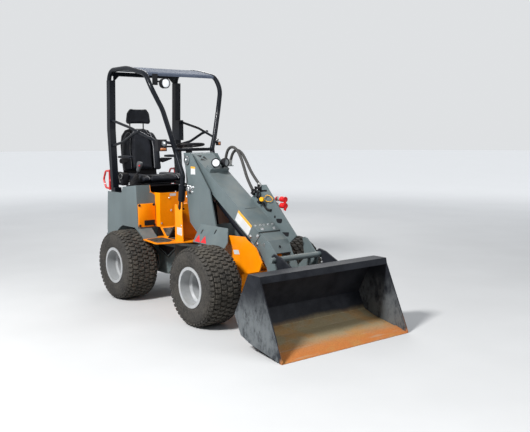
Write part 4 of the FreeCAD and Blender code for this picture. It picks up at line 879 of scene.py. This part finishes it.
PAD_VOXEL = 0.006
PAD_PRESSURE = 4.0
PAD_FRAMES = 20


def pad(name, points, way, ease, cap):
    """A stuffed pad: an eased block that cloth pressure swells, no point moving further than the cap."""
    piece = outlined(name, points, way, ease, 3)
    chosen(piece)
    bpy.ops.object.modifier_add(type="REMESH")
    remesh = piece.modifiers[-1]
    remesh.mode = "VOXEL"
    remesh.voxel_size = PAD_VOXEL
    bpy.ops.object.modifier_apply(modifier=remesh.name)
    rest = [vertex.co.copy() for vertex in piece.data.vertices]
    bpy.ops.object.modifier_add(type="CLOTH")
    cloth = piece.modifiers[-1]
    cloth.settings.use_pressure = True
    cloth.settings.uniform_pressure_force = PAD_PRESSURE
    cloth.settings.effector_weights.gravity = 0
    for number in range(1, PAD_FRAMES + 1):
        bpy.context.scene.frame_set(number)
    bpy.ops.object.modifier_apply(modifier=cloth.name)
    for vertex, home in zip(piece.data.vertices, rest):
        shift = vertex.co - home
        if shift.length > cap:
            vertex.co = home + shift.normalized() * cap
    bpy.context.scene.frame_set(1)
    return piece


def upholstered(name, parts, node):
    piece = joined(name, parts)
    chosen(piece)
    bpy.ops.object.shade_smooth()
    settle(piece, "rear_frame", "vinyl", smooth=0)
    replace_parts(piece, node)
    return piece


def welt(name, points, target):
    """A sewn cord that lies on a pad along these places."""
    line = hose_curve(name, points, 0)
    bpy.ops.object.convert(target="MESH")
    bpy.ops.object.modifier_add(type="SHRINKWRAP")
    wrap = line.modifiers[-1]
    wrap.target = target
    bpy.ops.object.modifier_apply(modifier=wrap.name)
    bpy.ops.object.convert(target="CURVE")
    line = bpy.context.object
    line.data.bevel_depth = 0.003
    line.data.bevel_resolution = 2
    bpy.ops.object.convert(target="MESH")
    settle(line, "rear_frame", "thread", smooth=60)


def shell_place(back, across, height):
    """A place on the seat shell, behind the backrest pads."""
    return place(-0.5290 - (height - 1.172) * 0.1336 - back, across, height)


def add_seat_frame():
    half = [(0.186, 1.100), (0.200, 1.30), (0.198, 1.44), (0.180, 1.535), (0.135, 1.592), (0.080, 1.608)]
    outline = half + [(-y, z) for y, z in reversed(half)]
    pieces = [outlined("shell", [shell_place(0, y, z) for y, z in outline], Vector((-0.015, 0, 0)), 0.005, 3)]
    pieces.append(slab("pan", (0.400, 0.400, 0.010), place(-0.250, 0, 1.0725), 0, 0.003))
    pieces.append(outlined("heel", on_side(-0.190, (
        (-0.440, 1.068), (-0.470, 1.078), (-0.528, 1.110), (-0.545, 1.150), (-0.529, 1.160), (-0.516, 1.118),
        (-0.465, 1.090), (-0.440, 1.084))), sideways(0.380), 0.002))
    for side in (-1, 1):
        post = turned("post", [(0, 1.580), (0.0065, 1.580), (0.0065, 1.706), (0, 1.708)], 16)
        post.location = place(-0.5925, side * 0.078, 0)
        pieces.append(post)
        pieces.append(slab("rail", (0.222, 0.025, 0.016), place(-0.326, side * 0.1625, 1.056), 0, 0.002))
        pieces.append(slab("slide", (0.222, 0.036, 0.060), place(-0.326, side * 0.1625, 1.018), 0, 0.004))
    # The black base block under the cushion is the seat's base and also fills the shadow under the seat as
    # painted shade.
    pieces.append(slab("base", (0.236, 0.300, 0.066), place(-0.330, 0, 1.030), 0, 0.010))
    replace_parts(fitted("seat_frame_parts", pieces, "rear_frame", "plastic"), "seat_frame")
    reel = slab("belt_reel", (0.180, 0.084, 0.124), place(-0.400, -0.288, 1.112), 0.05, 0.016, 4)
    settle(reel, "rear_frame", "plastic")


def back_place(forward, across, height):
    """A place on the leaning backrest, forward of its middle plane."""
    return place(-0.524 - (height - 1.172) * 0.115 + forward, across, height)


def add_seat():
    seat = [pad("seat_middle", on_side(-0.152, (
        (-0.440, 1.088), (-0.060, 1.088), (-0.038, 1.104), (-0.038, 1.126), (-0.075, 1.144), (-0.18, 1.138),
        (-0.44, 1.134))), sideways(0.304), 0.012, 0.009)]
    for side in (-1, 1):
        seat.append(pad("seat_wing", on_side(side * 0.158, (
            (-0.440, 1.088), (-0.064, 1.088), (-0.042, 1.106), (-0.044, 1.130), (-0.095, 1.156),
            (-0.20, 1.161), (-0.44, 1.160))), sideways(side * 0.072), 0.016, 0.007))
    cushion = upholstered("seat_cushion_pad", seat, "seat_cushion")
    back = [pad("back_middle", [back_place(0, y, z) for y, z in (
        (-0.122, 1.185), (-0.128, 1.42), (-0.112, 1.55), (-0.070, 1.606), (0.070, 1.606), (0.112, 1.55),
        (0.128, 1.42), (0.122, 1.185))], Vector((0.060, 0, 0)), 0.014, 0.010)]
    for side in (-1, 1):
        back.append(pad("back_wing", [back_place(-0.002, side * y, z) for y, z in (
            (0.131, 1.185), (0.134, 1.42), (0.112, 1.575), (0.148, 1.568), (0.188, 1.500), (0.208, 1.38),
            (0.212, 1.185))], Vector((0.076, 0, 0)), 0.022, 0.007))
    backrest = upholstered("seat_back_pad", back, "seat_back")
    head = [pad("head_pad", [place(-0.578, y, z) for y, z in (
        (-0.126, 1.654), (-0.141, 1.676), (-0.130, 1.765), (-0.096, 1.812), (0.096, 1.812), (0.130, 1.765),
        (0.141, 1.676), (0.126, 1.654))], Vector((0.044, 0, 0)), 0.014, 0.007)]
    upholstered("headrest_pad", head, "headrest")
    arms = []
    for side in (-1, 1):
        arms.append(pad("arm_pad", on_side(side * 0.248, (
            (-0.476, 1.314), (-0.232, 1.320), (-0.220, 1.330), (-0.232, 1.342), (-0.476, 1.336))),
            sideways(side * 0.038), 0.006, 0.004))
    upholstered("armrest_pads", arms, "armrests")
    for side, hand in SIDES:
        welt("seat_welt_" + hand, on_side(side * 0.156, (
            (-0.42, 1.160), (-0.25, 1.162), (-0.12, 1.158), (-0.06, 1.142), (-0.034, 1.110))), cushion)
        welt("back_welt_" + hand, [back_place(0.06, side * y, z) for y, z in (
            (0.132, 1.20), (0.134, 1.35), (0.128, 1.48), (0.110, 1.565), (0.060, 1.606))], backrest)
        stay = outlined("arm_stay_" + hand, on_side(side * 0.232, (
            (-0.520, 1.262), (-0.480, 1.256), (-0.300, 1.296), (-0.300, 1.310), (-0.500, 1.308))),
            sideways(side * 0.010), 0.002)
        hinge = standing("arm_hinge", [(0, 0), (0.020, 0), (0.020, 0.046), (0.016, 0.050), (0, 0.050)], 24,
                         place(-0.500, side * 0.196, 1.284), (0, side, 0))
        fitted("arm_stay_" + hand, [stay, hinge], "rear_frame", "plastic")
    tongue = slab("tongue", (0.014, 0.005, 0.080), place(-0.352, -0.334, 1.110), -0.3, 0.001)
    hoop = standing("hoop", [(radius, along - 0.003) for radius, along in ring(0.022, 0.029, 0.006)], 28,
                    place(-0.328, -0.334, 1.140), (0.2, -1, 0.1))
    fitted("belt_buckle", [tongue, hoop], "rear_frame", "steel")
    # A thin black strip under the front of the cushion: painted shade over the gap between the cushion and
    # the deck.
    bar = slab("seat_front_shade_strip", (0.004, 0.38, 0.005), place(-0.046, 0, 1.0755), 0, 0.001)
    settle(bar, "rear_frame", "black_gloss")


def add_lever():
    """The lever stands on its plate, its bellows and grip leaning forward."""
    base = place(-0.112, -0.298, 1.064)
    lean = Vector((0.38, 0.10, 1.0)).normalized()
    outline = [(0.020, 0.0)]
    for number in range(8):
        reach = 0.053 - 0.0042 * number
        outline += [(reach, 0.004 + 0.0140 * number), (reach - 0.010, 0.011 + 0.0140 * number)]
    outline += [(0.014, 0.118), (0.009, 0.122), (0.008, 0.150), (0, 0.150)]
    bellows = standing("bellows", outline, 40, base, lean)
    plate = slab("lever_plate", (0.096, 0.088, 0.014), place(-0.130, -0.310, 1.0585), -0.1, 0.003)
    shown = fitted("lever_bellows", [bellows, plate], "rear_frame", "plastic", smooth=20)
    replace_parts(shown, "control_lever")
    knob = standing("lever_knob", [
        (0.009, 0.140), (0.016, 0.144), (0.019, 0.160), (0.021, 0.182), (0.027, 0.202), (0.029, 0.222),
        (0.024, 0.238), (0, 0.244)], 36, base, lean)
    settle(knob, "rear_frame", "grey_plastic", smooth=50)
    button = standing("lever_button", [(0, 0.005), (0.007, 0.0045), (0.009, 0.002), (0.009, -0.006)], 20,
                      base + lean * 0.208 + Vector((0.022, -0.015, -0.004)), (1, -0.6, -0.1))
    settle(button, "rear_frame", "red_cap", smooth=50)


# Rubber on the platform and pedals, and the side plates below it, whose V notches hold dark sheets of painted
# shade

def add_platform_trim():
    pads = []
    for side in (-1, 1):
        pads.append(outlined("step_pad", [place(x, side * y, 0.5822) for x, y in (
            (0.262, 0.225), (0.462, 0.225), (0.535, 0.300), (0.525, 0.428), (0.272, 0.392))],
            Vector((0, 0, 0.003)), 0.001, 1, 0.012))
        for number in range(9):
            spot = place(0.290 + number * 0.026, side * 0.310, 0.5862)
            pads.append(slab("rib", (0.004, 0.150, 0.0024), spot, 0, 0.0008, 1))
        pads.append(slab("toe_pad", (0.100, 0.150, 0.003), place(0.2535, side * 0.110, 0.6310), 0.735, 0.001))
    fitted("step_pads", pads, "rear_frame", "mat")
    mat_pieces = [slab("mat", (0.150, 0.380, 0.006), place(0.387, 0, 0.5853), 0, 0.0015)]
    for number in range(14):
        spot = place(0.387, -0.175 + number * 0.027, 0.589)
        mat_pieces.append(slab("mat_rib", (0.134, 0.006, 0.002), spot, 0, 0.0006, 1))
    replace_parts(fitted("ribbed_mat", mat_pieces, "rear_frame", "mat"), "floor_mat")
    treads = []
    for side in (-1, 1):
        treads.append(outlined("pedal", on_side(side * 0.078, (
            (0.330, 0.589), (0.342, 0.589), (0.432, 0.684), (0.438, 0.700), (0.426, 0.702), (0.416, 0.692))),
            sideways(side * 0.116), 0.002))
        for number in range(6):
            spot = place(0.352 + 0.013 * number, side * 0.136, 0.6135 + 0.0138 * number)
            treads.append(slab("grip", (0.005, 0.100, 0.003), spot, 0.8, 0.001, 1))
    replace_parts(fitted("pedal_treads", treads, "rear_frame", "mat"), "pedals")
    # Dark sheets in the V notches of the side plates are painted shade inside the notches; grey rims edge
    # them.
    notch_shades, rims = [], []
    for side in (-1, 1):
        notch_shades.append(outlined("notch", on_side(side * NOTCH_FACE, (
            (0.090, 0.496), (0.100, 0.448), (0.277, 0.384), (0.399, 0.468), (0.402, 0.496))),
            sideways(side * 0.001)))
        rims.append(outlined("rim", on_side(side * NOTCH_FACE, (
            (0.128, 0.470), (0.268, 0.412), (0.392, 0.492), (0.402, 0.484), (0.268, 0.396), (0.110, 0.460))),
            sideways(side * 0.004), 0.001, 1))
    fitted("side_notch_shades", notch_shades, "rear_frame", "plastic")
    fitted("notch_rims", rims, "rear_frame", "grey")


# Openings drawn as dark sheets of painted shade, fittings and covers at the end of the boom

BRACKET_FITTINGS = [
    # (along the boom, across, up, length of the nut)
    (0.748, 0.070, 0.170, 0.046),
    (0.800, 0.066, 0.150, 0.050),
    (0.770, 0.068, 0.215, 0.040),
    (0.842, 0.064, 0.125, 0.060),
    (0.722, 0.072, 0.130, 0.044),
]


def add_bracket_trim():
    thin = sideways(-0.0008)
    # Flat dark sheets: the patches on the bracket and the boom top are painted shade in openings, the thin
    # strips across and along the boom are dark joints.
    outlines = [
        ([(1.573, 0.857), (1.656, 0.862), (1.646, 0.823), (1.586, 0.823)], 0.014),
        ([(1.650, 0.752), (1.742, 0.760), (1.734, 0.722), (1.702, 0.722)], 0.010),
        ([(1.362, 1.081), (1.452, 1.089), (1.452, 1.074), (1.364, 1.066)], 0.006),
        ([(1.548, 0.881), (1.570, 0.881), (1.570, 0.859), (1.548, 0.859)], 0.010)]
    shapes = [(on_side(BRACKET_FACE, points), thin, corner) for points, corner in outlines]
    up = boom_way(0, 0, 0.0008)
    roots = [((0.030, -0.082), (0.030, -0.030), (0.064, -0.058)),
             ((0.040, -0.012), (0.104, -0.008), (0.072, -0.045)),
             ((0.110, -0.090), (0.078, -0.062), (0.112, -0.030))]
    shapes += [([on_boom(a, y, BOOM_TOP) for a, y in points], up, 0.004) for points in roots]
    shapes.append(([on_boom(a, y, BOOM_TOP) for a, y in (
        (0.835, -0.055), (0.839, -0.055), (0.839, 0.058), (0.835, 0.058))], up, 0))
    shapes.append(([on_boom(a, y, 0.0742) for a, y in (
        (1.162, -0.104), (1.171, -0.104), (1.171, 0.090), (1.162, 0.090))], up, 0))
    side_line = [(1.1695, 0.060), (1.1750, 0.060), (1.1560, -0.062), (1.1505, -0.062)]
    for side in (-1, 1):
        shapes.append((on_boom_side(side * BOOM_LABEL, side_line), sideways(side * 0.0008), 0))
    dark_sheets = [outlined("cut", points, way, corner=corner) for points, way, corner in shapes]
    fitted("boom_hole_shades_and_seams", dark_sheets, "boom", "plastic")
    hole, hole_way = on_boom(1.318, 0, 0.0388), boom_way(0.559, 0, 0.829)
    settle(standing("nose_rim", ring(0.0125, 0.018, 0.0025), 36, hole, hole_way), "boom", "grey")
    # The dark disc inside the nose rim is painted shade for the hole.
    disc = [(0, 0), (0.0126, 0), (0.0126, 0.0012), (0, 0.0012)]
    settle(standing("nose_hole_shade", disc, 32, hole, hole_way), "boom", "plastic")
    weld = outlined("bracket_weld", on_boom_side(0.0982, (
        (0.900, BOOM_TOP), (1.062, BOOM_TOP), (1.060, 0.0760), (0.904, 0.0760))),
        sideways(-0.007), 0.0015)
    settle(weld, "boom", "grey")
    blocks = []
    for along, across, height, length in BRACKET_FITTINGS:
        spot = on_boom(along, across, height)
        blocks.append(standing("nut", [
            (0, 0), (0.016, 0), (0.016, 0.014), (0.011, 0.017), (0.011, length * 0.7), (0.014, length * 0.75),
            (0.014, length), (0, length)], 6, spot, boom_way(-0.4, 0.1, 0.9)))
        elbow = [(0, 0), (0.010, 0), (0.012, 0.008), (0.012, 0.028), (0, 0.032)]
        blocks.append(standing("elbow", elbow, 20, spot, LEFT))
    fitted("bracket_fittings", blocks, "boom", "plastic")


# Couplers and hose ends

def add_pipe(name, points, radius, material="plastic"):
    tube = hose_curve(name, points, radius * 2)
    bpy.ops.object.convert(target="MESH")
    settle(tube, "boom", material, smooth=60)


def add_couplers():
    """Two quick couplers with their caps, level and pointing forward, and the capped drain coupler."""
    caps, collars = [], []
    for x, z in ((1.545, 1.018), (1.548, 0.966)):
        spot = place(x, 0.1330, z)
        collars.append(standing("collar", [
            (0, -0.030), (0.012, -0.030), (0.012, -0.006), (0.0155, -0.002), (0.0155, 0.010), (0.0175, 0.014),
            (0.0175, 0.036), (0.0156, 0.040), (0.0156, 0.050), (0, 0.050)], 36, spot, FRONT))
        caps.append(standing("cap", [
            (0, 0.0495), (0.0200, 0.0495), (0.0230, 0.053), (0.0230, 0.074), (0.0195, 0.080), (0.0195, 0.096),
            (0.0235, 0.100), (0.0235, 0.108), (0, 0.110)], 36, spot, FRONT))
        caps.append(slab("lug", (0.026, 0.010, 0.034), spot + Vector((0.100, 0, -0.022)), 0.3, 0.003))
        caps.append(standing("band", ring(0.0178, 0.0205, 0.008), 32, spot + Vector((-0.002, 0, 0)), FRONT))
        collars.append(slab("tab", (0.036, 0.020, 0.028), spot + Vector((-0.020, -0.0125, 0)), 0, 0.002))
    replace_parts(fitted("coupler_caps", caps, "boom", "red_cap"), "couplers")
    fitted("coupler_collars", collars, "boom", "steel")
    plug = standing("plug", [(0, 0), (0.018, 0), (0.020, 0.006), (0.020, 0.026), (0.016, 0.033), (0, 0.034)],
                    32, place(1.432, 0.066, 1.008), (0.5, -0.75, 0.1))
    fitted("drain_plug", [plug], "boom", "yellow_cap")
    loop = on_side(0.084, (
        (1.440, 1.022), (1.455, 1.046), (1.505, 1.046), (1.553, 1.020), (1.530, 0.994), (1.470, 0.992),
        (1.446, 1.000)))
    add_pipe("drain_strap", loop, 0.0028, "yellow_cap")
    for number, (x, z) in enumerate(((1.515, 1.018), (1.518, 0.966))):
        add_pipe(f"coupler_pipe_{number}", [
            on_boom(0.788, 0.122 + 0.010 * number, 0.104), on_boom(0.850, 0.124 + 0.010 * number, 0.106),
            place(x - 0.060, 0.130, z - 0.012), place(x - 0.020, 0.1330, z), place(x + 0.008, 0.1330, z)],
            0.0085)
    strap = on_boom_side(0.092, (
        (0.815, 0.165), (0.850, 0.138), (0.900, 0.120), (0.950, 0.122), (0.985, 0.150)))
    add_pipe("drain_hose", strap, 0.009)


def add_hose_ends():
    ends = []
    for route in HOSES.values():
        for tip, before, body in ((route[-1], route[-2], "boom"), (route[0], route[1], "front_frame")):
            tip, before = (place(*(part / 1000 for part in point)) for point in (tip, before))
            way = (before - tip).normalized()
            ferrule = standing("ferrule", [
                (0.0135, 0.050), (0.0165, 0.048), (0.0165, 0.016), (0.0150, 0.014), (0.0150, 0.002),
                (0.0, 0.002)], 32, tip, way)
            nut = standing("nut", [(0, 0.0005), (0.0195, 0.0005), (0.0195, 0.013), (0.0, 0.013)], 6, tip, way)
            ends.append((body, [ferrule, nut]))
    for body in ("boom", "front_frame"):
        pieces = [piece for owner, pair in ends if owner == body for piece in pair]
        fitted("hose_ends_" + body, pieces, body, "steel")


# Stage: a pale floor and soft light

def add_floor():
    """A pale floor that brightens with distance until it meets the backdrop's tone."""
    floor = turned("floor", [(0, 0), (4, 0), (8, 0), (16, 0), (60, 0)], 96)
    f = Finish("floor_finish", 0.2)
    grain = f.noise(180, 5, 0.7)
    cloud = f.noise(0.9, 4, 0.5)
    shade = (grain * 0.4 + cloud * 0.6).ramp(0.3, 0.75)
    reach = f.node("VectorMath", {"operation": "LENGTH"}, [f.coordinates()], "Value")
    glow = f.mix(reach.ramp(3.0, 15.0), (0.0, 0.0, 0.0), (0.56, 0.57, 0.58))
    f.shade(colour=f.mix(shade, (0.52, 0.52, 0.515), (0.57, 0.57, 0.565)), roughness=grain * 0.1 + 0.85,
            glow=glow, glow_strength=1.0)
    floor.data.materials.append(f.material)
    floor.select_set(False)


def add_light(name, spot, size, power, aim=(0, 0, 0.8)):
    bpy.ops.object.light_add(type="AREA", location=spot)
    light = bpy.context.object
    light.name = name
    light.data.shape = "DISK"
    light.data.size = size
    light.data.energy = power
    light.rotation_mode = "QUATERNION"
    light.rotation_quaternion = (Vector(aim) - Vector(spot)).to_track_quat("-Z", "Y")


def add_world():
    world = bpy.data.worlds.new("studio")
    bpy.context.scene.world = world
    world.use_nodes = True
    tree = world.node_tree
    tree.nodes.clear()
    path = tree.nodes.new("ShaderNodeLightPath")
    seen = tree.nodes.new("ShaderNodeBackground")
    seen.inputs["Color"].default_value = (0.74, 0.755, 0.77, 1)
    lit = tree.nodes.new("ShaderNodeBackground")
    lit.inputs["Color"].default_value = (0.78, 0.85, 0.95, 1)
    lit.inputs["Strength"].default_value = 0.42
    blend = tree.nodes.new("ShaderNodeMixShader")
    output = tree.nodes.new("ShaderNodeOutputWorld")
    factor = path.outputs["Is Camera Ray"]
    for ray in ("Is Glossy Ray", "Is Transmission Ray"):
        either = tree.nodes.new("ShaderNodeMath")
        either.operation = "MAXIMUM"
        tree.links.new(factor, either.inputs[0])
        tree.links.new(path.outputs[ray], either.inputs[1])
        factor = either.outputs[0]
    tree.links.new(factor, blend.inputs[0])
    tree.links.new(lit.outputs[0], blend.inputs[1])
    tree.links.new(seen.outputs[0], blend.inputs[2])
    tree.links.new(blend.outputs[0], output.inputs["Surface"])


add_camera()
dress_nodes()
add_tyres()
add_hoses()
add_boom_ledge()
add_frame_bolts()
add_service_covers()
add_platform_trim()
add_bracket_trim()
add_lamps()
add_labels()
add_seat_frame()
add_seat()
add_lever()
add_couplers()
add_hose_ends()
add_floor()
add_light("key", (1.5, -6.5, 6.5), 1.6, 1150)
add_light("fill", (7.0, 2.0, 4.0), 4.0, 170)
add_light("back", (-5.0, 4.0, 5.0), 4.0, 200)
add_world()
bpy.context.scene.view_settings.view_transform = "Standard"
